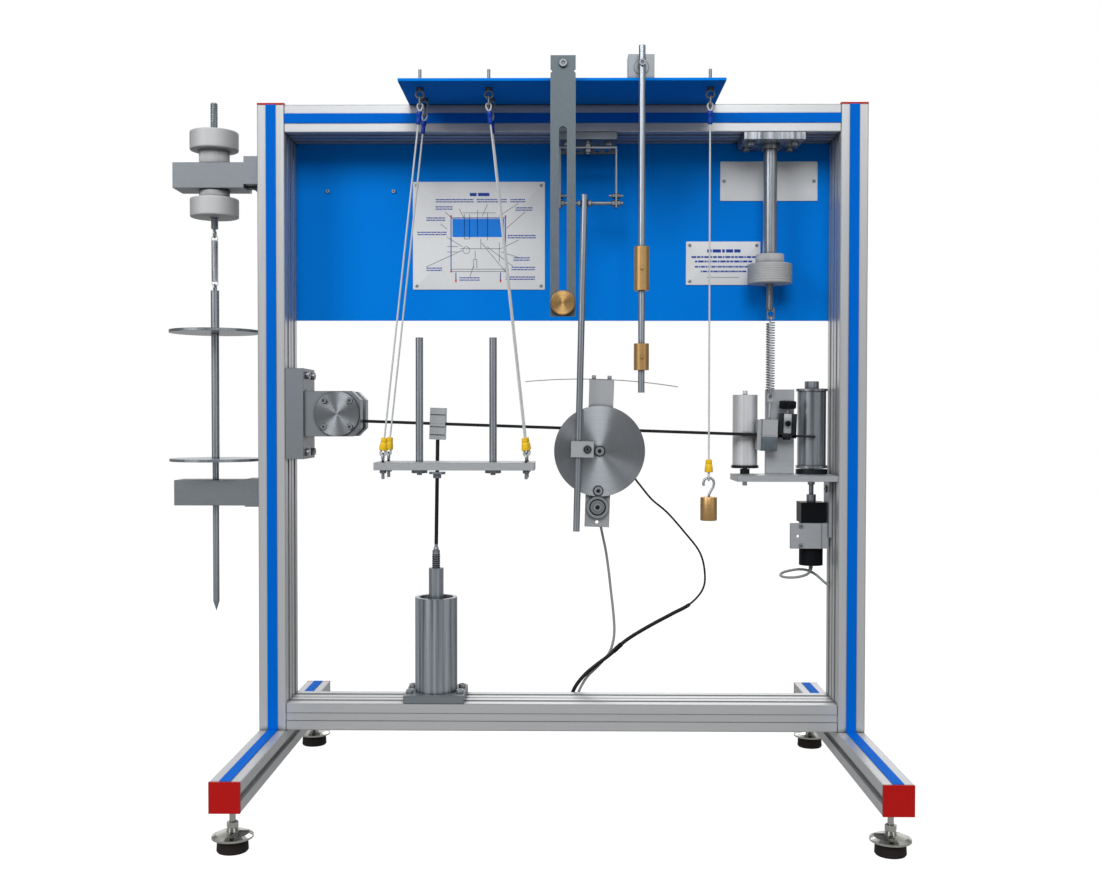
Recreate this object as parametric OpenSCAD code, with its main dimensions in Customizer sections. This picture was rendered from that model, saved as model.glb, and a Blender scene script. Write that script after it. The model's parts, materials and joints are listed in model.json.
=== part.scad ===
// Mechanical vibration apparatus: a portal of slotted aluminium profile that carries pendulums,
// a bifilar platform, a spring and mass unit, and a driven beam with a dashpot and a chart recorder.
// Millimetres, +Z up. X = 0 is the middle of the whole width, Y = 0 the middle of the frame, Z = 0 the floor.

/* [Frame] */
// Width over the two uprights
frame_w = 1000; // [960:5:1060]
// Length of the uprights
upright_h = 1030; // [1020:1:1060]
// Module of the slotted profile
cell = 45; // [44:0.5:46]
// Width of a slot at its mouth
slot_w = 10; // [9.5:0.1:11]
// Thickness of the lip beside a slot
slot_lip = 4.5; // [4:0.1:5]
// Length of a foot rail without its caps
foot_l = 662; // [600:2:700]
// Height of the foot rails above the floor
foot_clear = 68; // [62:1:80]
// Thickness of the red foot caps
cap_t = 4; // [2:0.5:6]
// Thickness of the caps on the uprights
top_cap_t = 3; // [2:0.5:5]
// Visible width of a slot cover strip
strip_w = 16; // [13:0.5:18]
// Thickness of a cover strip above the profile
strip_t = 1.2; // [0.8:0.1:2]

/* [Levelling feet] */
// Distance of a levelling foot from the end of its rail
foot_inset = 40; // [34:1:70]
// Diameter of the rubber pad
pad_d = 46; // [36:1:56]
// Height of the rubber pad
pad_h = 20; // [8:1:24]
// Diameter of the pressed steel disc
foot_disc_d = 60; // [50:1:70]
// Diameter of the levelling stud
foot_stud_d = 9; // [7:0.5:9]

/* [Panel and canopy] */
// Width of the back panel
panel_w = 980; // [930:5:990]
// Height of the back panel
panel_h = 346; // [300:2:400]
// Thickness of the back panel
panel_t = 3; // [2:0.5:5]
// Width of the canopy plate
canopy_w = 500; // [480:5:560]
// How far the canopy stands out in front of the frame
canopy_out = 140; // [136:1:150]
// Thickness of the canopy plate
canopy_t = 4; // [3:0.5:6]

/* [Hooks and cords] */
// Mean diameter of an eye
eye_d = 12; // [11.5:0.1:13]
// Wire diameter of an eye
eye_wire = 3.5; // [3:0.1:3.8]
// Mean width of a hanging link
link_d = 8; // [7.8:0.1:9]
// Wire diameter of a hanging link
link_wire = 3; // [2.6:0.1:3.2]
// Mean diameter of a cord's end loop
loop_d = 12; // [11.5:0.1:13]
// Diameter of the cords
cord_d = 3; // [2.4:0.1:3.2]
// Diameter of the sleeves at the cord ends
sleeve_d = 9; // [7:0.2:10]
// Length of those sleeves
sleeve_l = 20; // [12:1:26]

/* [Bifilar platform] */
// Centre of the platform, from the middle of the frame
platform_x = -167; // [-172:1:-160]
// Distance from the front of the frame to the platform's centre line
platform_out = 69; // [66:1:72]
// Spacing of the upper hooks along the platform
hook_span = 107; // [100:1:114]
// Spacing of the hooks from front to back
hook_depth = 62; // [58:1:66]
// Length of a platform cord between its loops
cord_l = 539; // [532:1:546]
// Distance from a lower eye to the platform's end
eye_edge = 13; // [9:0.5:16]
// Depth of the platform bar
platform_w = 86; // [80:1:90]
// Thickness of the platform bar
platform_t = 12; // [10:0.5:14]
// Distance between the lower eyes along the platform
eye_span = 224; // [216:1:230]
// Spacing of the two posts
post_span = 117; // [105:1:125]
// Height of the posts above the bar
post_h = 197; // [180:1:205]
// Diameter of the posts
post_d = 12; // [10:0.5:14]

/* [Pendulums] */
// Distance of the rod and bar pendulums in front of the frame
swing_out = 155; // [153:0.5:158]
// Middle of the slotted bar pendulum
bar_x = 2; // [-2:1:4]
// Width of the slotted bar
bar_w = 38; // [34:1:42]
// Thickness of the slotted bar
bar_t = 6; // [5:0.5:7]
// Length of the slotted bar
bar_l = 392; // [385:1:405]
// Width of the long slot
bar_slot_w = 12; // [11:0.5:13]
// Length of the long slot
bar_slot_l = 272; // [250:1:290]
// Diameter of the brass knob
knob_d = 37; // [32:1:40]
// Middle of the rod pendulum
rod_x = 121; // [118:1:126]
// Diameter of the rod pendulum
rod_d = 10; // [9:0.5:11]
// Length of the rod pendulum
rod_l = 522; // [515:1:535]
// Diameter of the brass masses on the rod
mass_d = 23; // [21:0.5:25]
// Length of the upper brass mass
upper_mass_l = 66; // [60:1:70]
// Length of the lower brass mass
lower_mass_l = 40; // [36:1:44]
// Middle of the cord pendulum
line_x = 230; // [222:1:238]
// Length of the cord pendulum between its loops
line_l = 573; // [560:1:585]
// Diameter of the brass weight
weight_d = 26; // [22:1:30]
// Height of the brass weight
weight_h = 37; // [32:1:42]

/* [Hanging rod] */
// Middle of the hanger bracket
hanger_x = 43; // [40:1:46]
// Width of the hanger bracket's strap
hanger_w = 95; // [90:1:100]
// Drop of the hanger axle below the top rail
hanger_drop = 115; // [108:1:122]
// Diameter of the hanging rod
hang_rod_d = 11; // [10:0.5:12]
// Length of the hanging rod
hang_rod_l = 554; // [540:1:565]
// Lean of the hanging rod to the left, in degrees
hang_lean = 1.3; // [0.8:0.1:1.6]
// Width of the clamp on the hanging rod
clamp_w = 38; // [34:1:42]
// Height of the clamp on the hanging rod
clamp_h = 27; // [22:1:32]

/* [Trunnion and beam] */
// Height of the beam pivot above the floor
pivot_z = 637; // [632:1:642]
// Distance of the pivot from the upright's inner face
pivot_out = 85; // [82:1:90]
// Thickness of the trunnion plate on the upright
trunnion_t = 30; // [26:1:32]
// Height of the trunnion plate
trunnion_h = 150; // [140:1:160]
// Height of the trunnion cheeks
cheek_h = 75; // [72:1:80]
// Thickness of one trunnion cheek
cheek_t = 26; // [24:1:27]
// Gap between the cheeks
cheek_gap = 30; // [29:0.5:32]
// Diameter of the pivot shaft
shaft_d = 20; // [18:0.5:22]
// Length of the beam from the pivot to its tip
beam_l = 796; // [790:1:798]
// Height of the beam bar
beam_t = 5; // [4:0.5:6]
// Width of the beam bar
beam_w = 16; // [14:0.5:18]
// Sag of the beam below level, in degrees
beam_tilt = 1.9; // [1.6:0.1:2.1]

/* [Exciter] */
// Distance of the exciter from the pivot along the beam
exciter_at = 435; // [430:1:440]
// Diameter of the exciter disc
disc_d = 151; // [146:1:154]
// Thickness of the exciter disc
disc_t = 7; // [6:0.5:8]
// Diameter of the friction wheel on the motor
wheel_d = 36; // [32:1:38]
// Width of the exciter bracket
bracket_w = 41; // [38:1:44]
// Thickness of the exciter bracket
bracket_t = 7; // [6:0.5:8]
// Diameter of the exciter motor
motor_d = 34; // [30:1:36]
// Length of the absorber strip
strip_l = 256; // [230:1:270]

/* [Dashpot] */
// Distance of the dashpot clamp from the pivot along the beam
dashpot_at = 163; // [158:1:166]
// Outer diameter of the dashpot cylinder
dashpot_d = 71; // [64:1:76]
// Height of the dashpot cylinder
dashpot_h = 158; // [150:1:165]
// Wall of the dashpot cylinder
dashpot_wall = 7; // [5:0.5:9]
// Diameter of the piston tube
tube_d = 25; // [22:0.5:28]
// Width of the beam clamps
block_w = 26; // [24:0.5:28]
// Height of the beam clamps
block_h = 53; // [50:1:56]

/* [Beam spring] */
// Distance of the beam spring from the pivot along the beam
spring_at = 718; // [714:1:722]
// Mean diameter of the beam spring's coils
beam_coil_d = 13.3; // [12:0.1:14]
// Wire diameter of the beam spring
beam_wire = 2.2; // [1.8:0.1:2.4]
// Turns of the beam spring
beam_turns = 27; // [24:1:28]
// Pitch of the beam spring
beam_pitch = 4.2; // [4:0.05:4.4]
// Diameter of the support tube
support_tube_d = 23; // [21:0.5:26]
// Length of the support tube
support_tube_l = 182; // [176:1:186]
// Diameter of the support nut
support_nut_d = 74; // [66:1:78]
// Diameter of the threaded studs
stud_d = 13; // [12:0.2:14]

/* [Recorder] */
// Height of the shelf's top above the floor
shelf_z = 536; // [532:1:540]
// Length of the shelf from the upright
shelf_l = 166; // [164:1:172]
// Thickness of the shelf
shelf_t = 10; // [8:0.5:12]
// Distance of the paper drum from the upright
paper_out = 143; // [140:1:145]
// Distance of the drive drum from the upright
drive_out = 30; // [29:0.5:32]
// Diameter of the paper drum
paper_d = 42; // [38:1:44]
// Diameter of the drive drum
drive_d = 48; // [45:1:50]
// Length of the drums
drum_l = 120; // [116:1:126]

/* [Spring and mass unit] */
// Distance of the load carrier from the upright
load_out = 83; // [82:0.5:88]
// Diameter of the two load discs
load_disc_d = 150; // [140:1:152]
// Length of the arms
arm_l = 118; // [112:1:124]
// Height of the arms
arm_h = 42; // [38:1:46]
// Depth of the arms
arm_d = 55; // [50:1:60]
// Thickness of the arm blocks on the upright
arm_block = 27; // [25:1:30]
// Height of the upper arm's underside above the floor
upper_arm_z = 1011; // [1006:1:1016]
// Height of the lower arm's underside above the floor
lower_arm_z = 484; // [478:1:490]
// Diameter of the knurled nuts
nut_d = 80; // [74:1:84]
// Mean diameter of the load spring's coils
load_coil_d = 10.3; // [9.6:0.1:11]
// Wire diameter of the load spring
load_wire = 1.2; // [1:0.05:1.25]
// Turns of the load spring
load_turns = 40; // [36:1:40]
// Pitch of the load spring
load_pitch = 1.72; // [1.7:0.01:1.8]
// Length of the carrier rod above the lower disc's seat
carrier_up = 282; // [276:1:286]
// Length of the carrier rod below that seat
carrier_down = 258; // [240:1:270]
// Spacing of the two load discs
disc_gap = 215; // [205:1:222]

/* [Hidden] */
$fn = 48;

// Clearances: run is a running fit, seat a small gap between pieces that move on each other.
run = 0.05;
seat = 0.2;
bolt_clear = 0.25;
hook_gap = 0.6;
cut = 1;
blue = "#0077d6";
aluminium = "#b9babc";
steel = "#767c82";
dark_steel = "#2a2b2d";
bright = "#c9cbcd";
brass = "#b58a4a";
black = "#17181b";

// Frame levels and faces
half_w = frame_w / 2;
post_x = half_w - cell / 2;
inner_x = half_w - cell;
half_d = cell;
foot_top = foot_clear + cell;
rail_top = foot_top + cell;
frame_top = foot_top + upright_h;
top_rail_z = frame_top - cell;
canopy_top = frame_top + canopy_t;
front = -half_d;
shift_x = (half_w + load_out + load_disc_d / 2 - max(half_w, post_x + foot_disc_d / 2)) / 2;
slot_depth = 14;
cavity_w = 20;
bolt_d = 8;
bolt_head = 6;
plate_t = 12;

// Hook stack under the canopy
eye_drop = 10;
link_len = 8;
eye_z = frame_top - eye_drop;
link_top_z = eye_z - eye_d / 2;
link_bottom_z = link_top_z - link_len;
line_top_z = link_bottom_z - link_d / 2 + link_wire / 2 + cord_d / 2 + hook_gap - loop_d / 2;
hook_y = front - platform_out;
line_y = hook_y - hook_depth / 2;

// Bifilar platform
cord_run = (eye_span - hook_span) / 2;
cord_fall = sqrt(cord_l * cord_l - cord_run * cord_run);
cord_lean = atan(cord_run / cord_fall);
loop_over_eye = eye_d / 2 + loop_d / 2 - eye_wire / 2 - cord_d / 2 - hook_gap;
eye_up = eye_d / 2 + eye_wire / 2 + 0.2;
platform_l = eye_span + 2 * eye_edge;
platform_top = line_top_z - cord_fall - loop_over_eye - eye_up;
post_nut = 6;
eye_stud_d = 5;

// Pendulums in front of the canopy
swing_y = front - swing_out;
bearing_front = front - canopy_out + 5;
pivot_lift = 17;
swing_z = canopy_top + pivot_lift;
pin_d = 6;
rod_pin_d = 5;
bar_block_w = 30;
bar_block_h = 29;
rod_block_w = 40;
rod_block_h = 37;
upper_mass_up = 154;
lower_mass_up = 34;
rod_over = 27;
rod_bottom = swing_z + rod_over - rod_l;
bar_over = 12;
bar_bottom = swing_z + bar_over - bar_l;
bar_slot_z = bar_bottom + 14;
knob_bolt_d = 10;
knob_z = bar_slot_z + knob_bolt_d / 2 + 0.5;
knob_t = 14;
upper_mass_z = rod_bottom + upper_mass_up;
lower_mass_z = rod_bottom + lower_mass_up;
weight_hook_r = 8;
weight_hook_wire = 4;
line_bottom_z = line_top_z - line_l;
weight_hook_z = line_bottom_z - weight_hook_r + weight_hook_wire / 2 + cord_d / 2 + hook_gap - loop_d / 2;
weight_top = weight_hook_z - weight_hook_r - 14;

// Hanging rod
hanger_plate_z = top_rail_z - plate_t;
axle_z = top_rail_z - hanger_drop;
axle_d = 6;
hang_y = front + 8;
strap_t = 3;
strap_w = 16;
strap_z = hanger_plate_z - 12;
hang_x = hanger_x - 6;
clamp_d = 17;
clamp_below = 404;
clamp_offset = 6.5;

// Beam, in a frame with its origin at the pivot and X along the beam
pivot_x = -inner_x + pivot_out;
bar_drop = 11;
hub_d = 50;
hub_w = cheek_gap - 2;
tail_d = 4;
tail_from = spring_at + block_w / 2 + 2;
clamp_seam = 0.1;
bearing_d = 42;
bearing_w = 12;
cheek_reach = 38;
cover_d = cheek_h - 1;
cover_t = 4;
cover_bolt = 21.5;
cover_screw_d = 6;
trunnion_bolt_z = 64;

// Exciter, measured in the beam's frame
bracket_y = -beam_w / 2 - bracket_t;
bracket_up = 72;
bracket_down = 174;
disc_gap_y = 2.5;
disc_y = bracket_y - disc_gap_y - disc_t;
disc_z = -47;
wheel_z = disc_z - disc_d / 2 - wheel_d / 2 - seat;
hub_screw_d = 15;
exciter_shaft_d = 8;
weight_bolt_r = 66;
pickup_d = 10;
pickup_x = 13;
pickup_z = -50;
leaf_t = 1;
leaf_w = 16;
leaf_r = 1000;
leaf_lift = leaf_r - sqrt(leaf_r * leaf_r - bracket_w * bracket_w / 4);
leaf_bolt_x = bracket_w * 0.32;
leaf_bolt_d = 4;

// Dashpot
dashpot_base_t = 13;
dashpot_base_l = 100;
dashpot_base_w = 90;
dashpot_x = pivot_x + dashpot_at - 4;
dashpot_z = rail_top + dashpot_base_t;
piston_z = dashpot_z + 24;
piston_t = 20;
tube_out = 49;
tube_top = dashpot_z + dashpot_h + tube_out;
ball_z = tube_top + 32;
push_rod_d = 6;
push_clear = 1.5;
push_deep = 12;

// Beam spring support
support_x = pivot_x + spring_at * cos(beam_tilt);
block_top = -bar_drop + block_h / 2;
block_eye_up = 37;
tang_hang = 1.2;
tang_t = 6;
block_eye_z = pivot_z - spring_at * sin(beam_tilt) + (block_top + block_eye_up) * cos(beam_tilt);
block_hole = 6;
beam_loop_low = block_eye_z + block_hole / 2 + beam_coil_d / 2 - beam_wire / 2 - tang_hang;
beam_bend = 4.5;
beam_loop_high = beam_loop_low + beam_turns * beam_pitch + 2 * beam_bend;
tang_hole = 10;
support_eye_z = beam_loop_high + beam_coil_d / 2 - beam_wire / 2 - tang_hang + tang_hole / 2;
support_plate_l = 100;
tube_bottom = top_rail_z - plate_t - support_tube_l;
support_collar_d = 47;
support_collar_h = 16;
support_nut_h = 33;

// Recorder
shelf_x = inner_x - shelf_l;
shelf_depth = 86;
drum_y = 30;
paper_x = inner_x - paper_out;
drive_x = inner_x - drive_out;
flange_t = 4;
drum_nut = 10;
drum_z = shelf_z + drum_nut + flange_t;
spindle_d = 8;
drum_knob_d = 24;
back_plate_y = 15;
back_plate_t = 8;
wall_t = 6;
wall_h = 96;
gearbox_w = 42;
gearbox_drop = 81;
gearbox_z = shelf_z - gearbox_drop;
gearbox_h = 34;
motor_body_d = 40;
motor_l = 74;
motor_bottom = gearbox_z - motor_l;
motor_plate_t = 5;
motor_plate_w = 52;
motor_plate_h = 43;
motor_plate_out = 40;

// Spring and mass unit
load_x = -half_w - load_out;
collar_d = 50;
nut_h = 31;
upper_collar = 24;
lower_collar = 14;
stud_over = 49;
stud_under = 23;
load_stud_top = upper_arm_z + arm_h + upper_collar + nut_h + stud_over;
load_stud_low = upper_arm_z - lower_collar - nut_h - stud_under;
load_eye_z = load_stud_low - 4;
load_bend = 3;
load_loop_high = load_eye_z - eye_d / 2 - load_coil_d / 2 + eye_wire / 2 + load_wire / 2 + hook_gap;
load_loop_low = load_loop_high - load_turns * load_pitch - 2 * load_bend;
carrier_eye_z = load_loop_low - eye_d / 2 - load_coil_d / 2 + eye_wire / 2 + load_wire / 2 + hook_gap;
carrier_top = carrier_eye_z - 4;
carrier_seat = carrier_top - carrier_up;
carrier_tip = carrier_seat - carrier_down;
load_disc_t = 4.5;
gusset_w = 12;
carrier_d = 14;
carrier_mid_d = 13;
carrier_low_d = 10.5;
tip_l = 17;

// Lead routes, from the middle of the frame, chosen by hand
grey_d = 4.5;
black_d = 3.4;
black_sleeve_d = 6.5;
black_sleeve_from = 12;
recorder_d = 4.5;
grey_route = [[60, 42, 482], [60, 48, 481.7], [60.6, 55, 478.7], [62.4, 60.8, 470.5], [65.5, 63.8, 455],
  [72, 64, 424], [77, 64, 400], [82, 64, 365], [86, 64, 330], [90, 64, 295], [92, 64, 265], [90, 63, 243],
  [82, 62, 221], [64, 62, 200], [46, 62, 182], [34.5, 62, 164], [28.5, 60.8, 149.5], [26.2, 55.5, 139],
  [26, 47, 133.8], [26, 41, 133], [26, 36, 133]];
black_route = [[76, 23.4, 572], [77, 36, 571], [86, 48, 565], [104, 52, 550], [120, 52, 534],
  [136, 52, 514], [156, 52, 490], [182, 52, 468], [212, 52, 434], [238, 52, 400], [247, 52, 366],
  [244, 52, 336], [222, 52, 310], [190, 53, 292], [150, 54, 270], [112, 55, 246], [84, 55, 221],
  [62, 56, 204], [42, 56.5, 187], [26.5, 57.5, 168], [18.6, 57.8, 151.5], [16.2, 54, 140.5],
  [16, 46.5, 135], [16, 41, 134], [16, 36, 134]];
recorder_route = [[425, 30, 380], [424.8, 29.8, 375.5], [423, 28, 370], [417.5, 23.5, 365.5],
  [408, 18, 363], [396, 14, 361.5], [384, 15.5, 361], [375.5, 23.5, 361.5], [374.5, 35, 363.5],
  [382, 44.5, 366.5], [395, 48.5, 369], [409, 47.5, 371], [423, 42.5, 369.5], [434.5, 35, 363.5],
  [443, 28, 356], [450, 24, 349.8], [457.5, 22.2, 346.3], [466, 22, 345]];

function unit(v) = v / norm(v);
function lerp(a, b, t) = a + (b - a) * t;
function last(list) = list[len(list) - 1];

// Points on a smooth curve through a route, with one point added between each pair
function spline_mid(p, i) = let (a = p[max(i - 1, 0)], d = p[min(i + 2, len(p) - 1)])
  (9 * (p[i] + p[i + 1]) - a - d) / 16;
function smooth(p) = concat([for (i = [0 : len(p) - 2]) each [p[i], spline_mid(p, i)]], [last(p)]);

// Cubic curve from a to b that leaves along u and arrives along v
function bend(a, u, b, v, n) = [for (i = [1 : n]) let (t = i / (n + 1), s = 1 - t)
  s * s * s * a + 3 * s * s * t * (a + u) + 3 * s * t * t * (b - v) + t * t * t * b];

// Rings of a tube: the side vector is carried along the path without twist
function tangents(p) = [for (i = [0 : len(p) - 1])
  unit(p[min(i + 1, len(p) - 1)] - p[max(i - 1, 0)])];
function carried(t) = let (start = unit(cross(t[0], abs(t[0].z) < 0.8 ? [0, 0, 1] : [1, 0, 0])))
  [for (i = 0, s = start; i < len(t);
    i = i + 1, s = i < len(t) ? unit(s - (s * t[i]) * t[i]) : s) s];

module tube(path, radii, sides) {
  t = tangents(path);
  s = carried(t);
  n = len(path);
  points = [for (i = [0 : n - 1], k = [0 : sides - 1])
    path[i] + radii[i] * (cos(360 * k / sides) * s[i] + sin(360 * k / sides) * cross(t[i], s[i]))];
  walls = [for (i = [0 : n - 2], k = [0 : sides - 1]) let (a = i * sides + k, b = i * sides + (k + 1) % sides)
    each [[a, b + sides, b], [a, a + sides, b + sides]]];
  caps = [for (k = [1 : sides - 2]) each [[0, k, k + 1],
    [(n - 1) * sides, (n - 1) * sides + k + 1, (n - 1) * sides + k]]];
  polyhedron(points, concat(walls, caps));
}

// Extension spring as one wire: a half hook, the coils and another half hook, hooks in the XZ plane
function spring_path(r, wire, turns, pitch, rise) = let (
    lead = 30,
    low = [for (a = [-185 : 22.5 : -5]) [r * cos(a), 0, r * sin(a)]],
    tail = low[0] - unit(low[1] - low[0]) * wire,
    coil_z = rise,
    sweep = 360 * turns - 2 * lead,
    coil = [for (i = [0 : 8 * turns]) let (a = lead + sweep * i / (8 * turns))
      [r * cos(a), r * sin(a), coil_z + turns * pitch * i / (8 * turns)]],
    top = coil_z + turns * pitch + rise,
    high = [for (a = [5 : 22.5 : 185]) [r * cos(a), 0, top + r * sin(a)]],
    tip = last(high) + unit(last(high) - high[len(high) - 2]) * wire,
    along = rise * 0.6,
    up = [0, 0, along])
  concat([tail], low,
    bend([r, 0, 0], up, coil[0], unit(coil[1] - coil[0]) * along, 3),
    coil,
    bend(last(coil), unit(last(coil) - coil[len(coil) - 2]) * along, [r, 0, top], up, 3),
    high, [tip]);

// Least clear distance between stretches of wire that lie half a turn or more apart
function self_gap(p, wire) = min([for (i = [0 : len(p) - 6], j = [i + 5 : min(i + 24, len(p) - 1)])
  norm(p[i] - p[j])]) - wire;

module extension_spring(coil_d, wire, turns, pitch, rise) {
  path = spring_path(coil_d / 2, wire, turns, pitch, rise);
  echo(least_gap = self_gap(path, wire));
  tube(path, [for (i = path) wire / 2], 6);
}

module placed() {
  translate([shift_x, 0, 0])
    children();
}

module beam_space() {
  translate([pivot_x, 0, pivot_z])
    rotate([0, beam_tilt, 0])
      children();
}

module along_x(at) {
  translate(at)
    rotate([0, 90, 0])
      children();
}

module along_y(at) {
  translate(at)
    rotate([-90, 0, 0])
      children();
}

module ring(mean_d, wire, sweep = 360) {
  rotate_extrude(angle = sweep)
    translate([mean_d / 2, 0])
      circle(d = wire);
}

// Eye that lies in the YZ plane
module eye(wire = eye_wire) {
  rotate([0, 90, 0])
    ring(eye_d, wire);
}

// Flat end with a hole along Y
module tang(w, hole, above, below) {
  difference() {
    translate([-w / 2, -tang_t / 2, -below])
      cube([w, tang_t, above + below]);
    along_y([0, -tang_t, 0])
      cylinder(h = 2 * tang_t, d = hole);
  }
}

module hex_nut(across, h) {
  cylinder(h = h, d = across / cos(30), $fn = 6);
}

// Socket screw with its head above Z = 0 and, if asked for, a T-nut below a profile's lip
module socket_screw(d, l, head_h, grip = 0) {
  difference() {
    cylinder(h = head_h, d = 1.5 * d);
    translate([0, 0, head_h / 2])
      cylinder(h = head_h, d = 0.85 * d, $fn = 6);
  }
  translate([0, 0, -l])
    cylinder(h = l + 0.01, d = d);
  if (grip > 0)
    translate([-8, -8, -grip - slot_lip - 3.2])
      cube([16, 16, 3]);
}

// One T-slot of the profile, mouth at Y = 0 and cut towards -Y
module slot_2d() {
  polygon([[-slot_w / 2, cut], [slot_w / 2, cut], [slot_w / 2, -slot_lip], [cavity_w / 2, -slot_lip],
    [cavity_w / 2, -slot_lip - 2], [cavity_w / 4, -slot_depth], [-cavity_w / 4, -slot_depth],
    [-cavity_w / 2, -slot_lip - 2], [-cavity_w / 2, -slot_lip], [-slot_w / 2, -slot_lip]]);
}

// Profile section, one cell along X and one or two along Y
module section_2d(cells, closed_front = false) {
  depth = cells * cell;
  bevel = 1;
  difference() {
    polygon([[-cell / 2 + bevel, -depth / 2], [cell / 2 - bevel, -depth / 2], [cell / 2, -depth / 2 + bevel],
      [cell / 2, depth / 2 - bevel], [cell / 2 - bevel, depth / 2], [-cell / 2 + bevel, depth / 2],
      [-cell / 2, depth / 2 - bevel], [-cell / 2, -depth / 2 + bevel]]);
    for (i = [0 : cells - 1]) {
      y = (i - (cells - 1) / 2) * cell;
      translate([cell / 2, y])
        rotate(-90)
          slot_2d();
      translate([-cell / 2, y])
        rotate(90)
          slot_2d();
      translate([0, y])
        circle(d = 8);
    }
    translate([0, depth / 2])
      slot_2d();
    if (closed_front)
      translate([-slot_w / 2 - 1.5, -depth / 2 - cut])
        square([slot_w + 3, cut + 0.8]);
    else
      translate([0, -depth / 2])
        rotate(180)
          slot_2d();
    if (cells == 2) {
      square([cell / 2, cell / 4], center = true);
      for (side = [-1, 1])
        translate([side * cell / 2, 0])
          square([2.4, 3], center = true);
    }
  }
}

module uprights() {
  color(aluminium) placed()
    for (side = [-1, 1])
      translate([side * post_x, 0, foot_top])
        linear_extrude(upright_h)
          section_2d(2);
}

module cross_rails() {
  color(aluminium) placed() {
    along_x([-inner_x, 0, top_rail_z + cell / 2])
      linear_extrude(2 * inner_x)
        section_2d(2);
    along_x([-inner_x, 0, foot_top + cell / 2])
      linear_extrude(2 * inner_x)
        section_2d(2, true);
  }
}

module foot_rails() {
  color(aluminium) placed()
    for (side = [-1, 1])
      along_y([side * post_x, -foot_l / 2, foot_clear + cell / 2])
        linear_extrude(foot_l)
          section_2d(1);
}

// Cover strip of a given length along +Z, on a face that looks along -Y
module strip(l) {
  translate([-strip_w / 2, -strip_t, 0])
    cube([strip_w, strip_t, l]);
  translate([-slot_w / 2 + seat, -0.01, 0])
    cube([slot_w - 2 * seat, slot_lip - seat, l]);
}

module cover_strips() {
  foot_run = foot_l / 2 - half_d - strip_t - seat;
  color(blue) placed() {
    for (side = [-1, 1]) {
      translate([side * post_x, front, foot_top + strip_t + seat])
        strip(upright_h - strip_t - seat);
      for (end = [-1, 1])
        translate([side * post_x, end * (half_d + strip_t + seat + foot_run / 2), foot_top])
          rotate([-90, 0, 0])
            translate([0, 0, -foot_run / 2])
              strip(foot_run);
    }
    along_x([-inner_x + seat, front, top_rail_z + cell / 2])
      strip(2 * inner_x - 2 * seat);
  }
}

module end_caps() {
  color("#ad1010") placed()
    for (side = [-1, 1]) {
      for (end = [-1, 1])
        translate([side * post_x, end * (foot_l + cap_t) / 2, foot_clear + cell / 2])
          cube([cell, cap_t, cell], center = true);
      translate([side * post_x, 0, frame_top + top_cap_t / 2])
        cube([cell, 2 * cell, top_cap_t], center = true);
    }
}

module at_feet() {
  for (side = [-1, 1], end = [-1, 1])
    translate([side * post_x, end * (foot_l / 2 - foot_inset), 0])
      children();
}

module levelling_feet() {
  color(bright) placed()
    at_feet() {
      rotate_extrude()
        polygon([[0, pad_h], [foot_disc_d / 2, pad_h], [foot_disc_d / 2, pad_h + 3],
          [foot_disc_d / 2 - 6, pad_h + 6], [foot_stud_d, pad_h + 9], [foot_stud_d * 0.8, pad_h + 16],
          [0, pad_h + 16]]);
      translate([0, 0, pad_h + 10])
        cylinder(h = foot_clear - pad_h, d = foot_stud_d);
      for (z = [pad_h + 15, foot_clear - 8])
        translate([0, 0, z])
          hex_nut(15, 8);
    }
}

module foot_pads() {
  color("#2a2320") placed()
    at_feet()
      rotate_extrude()
        polygon([[0, 0], [pad_d / 2 - 1.5, 0], [pad_d / 2, 2], [pad_d / 2 - 1, pad_h], [0, pad_h]]);
}

panel_bolts = [for (side = [-1, 1], up = [0.12, 0.88]) [side * post_x, frame_top - panel_h * up]];
panel_pins = [[-401, 125], [-288, 125]];

module back_panel() {
  color(blue) placed()
    difference() {
      translate([-panel_w / 2, half_d, frame_top - panel_h])
        cube([panel_w, panel_t, panel_h]);
      for (b = panel_bolts)
        along_y([b.x, half_d - cut, b.y])
          cylinder(h = panel_t + 2 * cut, d = bolt_d + 2 * bolt_clear);
      for (b = panel_pins)
        along_y([b.x, half_d - cut, frame_top - b.y])
          cylinder(h = panel_t + 2 * cut, d = 4 + 2 * bolt_clear);
    }
}

canopy_bolts = [for (x = [-0.38, 0.38], side = [-1, 1]) [x * canopy_w, side * cell / 2]];
hook_places = concat([for (x = [-1, 1], y = [-1, 1])
  [platform_x + x * hook_span / 2, hook_y + y * hook_depth / 2]], [[line_x, line_y]]);

module canopy_plate() {
  color(blue) placed()
    difference() {
      translate([-canopy_w / 2, front - canopy_out, frame_top])
        cube([canopy_w, canopy_out + 2 * half_d, canopy_t]);
      for (b = canopy_bolts)
        translate([b.x, b.y, frame_top - cut])
          cylinder(h = canopy_t + 2 * cut, d = bolt_d + 2 * bolt_clear);
      for (h = hook_places)
        translate([h.x, h.y, frame_top - cut])
          cylinder(h = canopy_t + 2 * cut, d = eye_stud_d + 2 * bolt_clear);
    }
}

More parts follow.
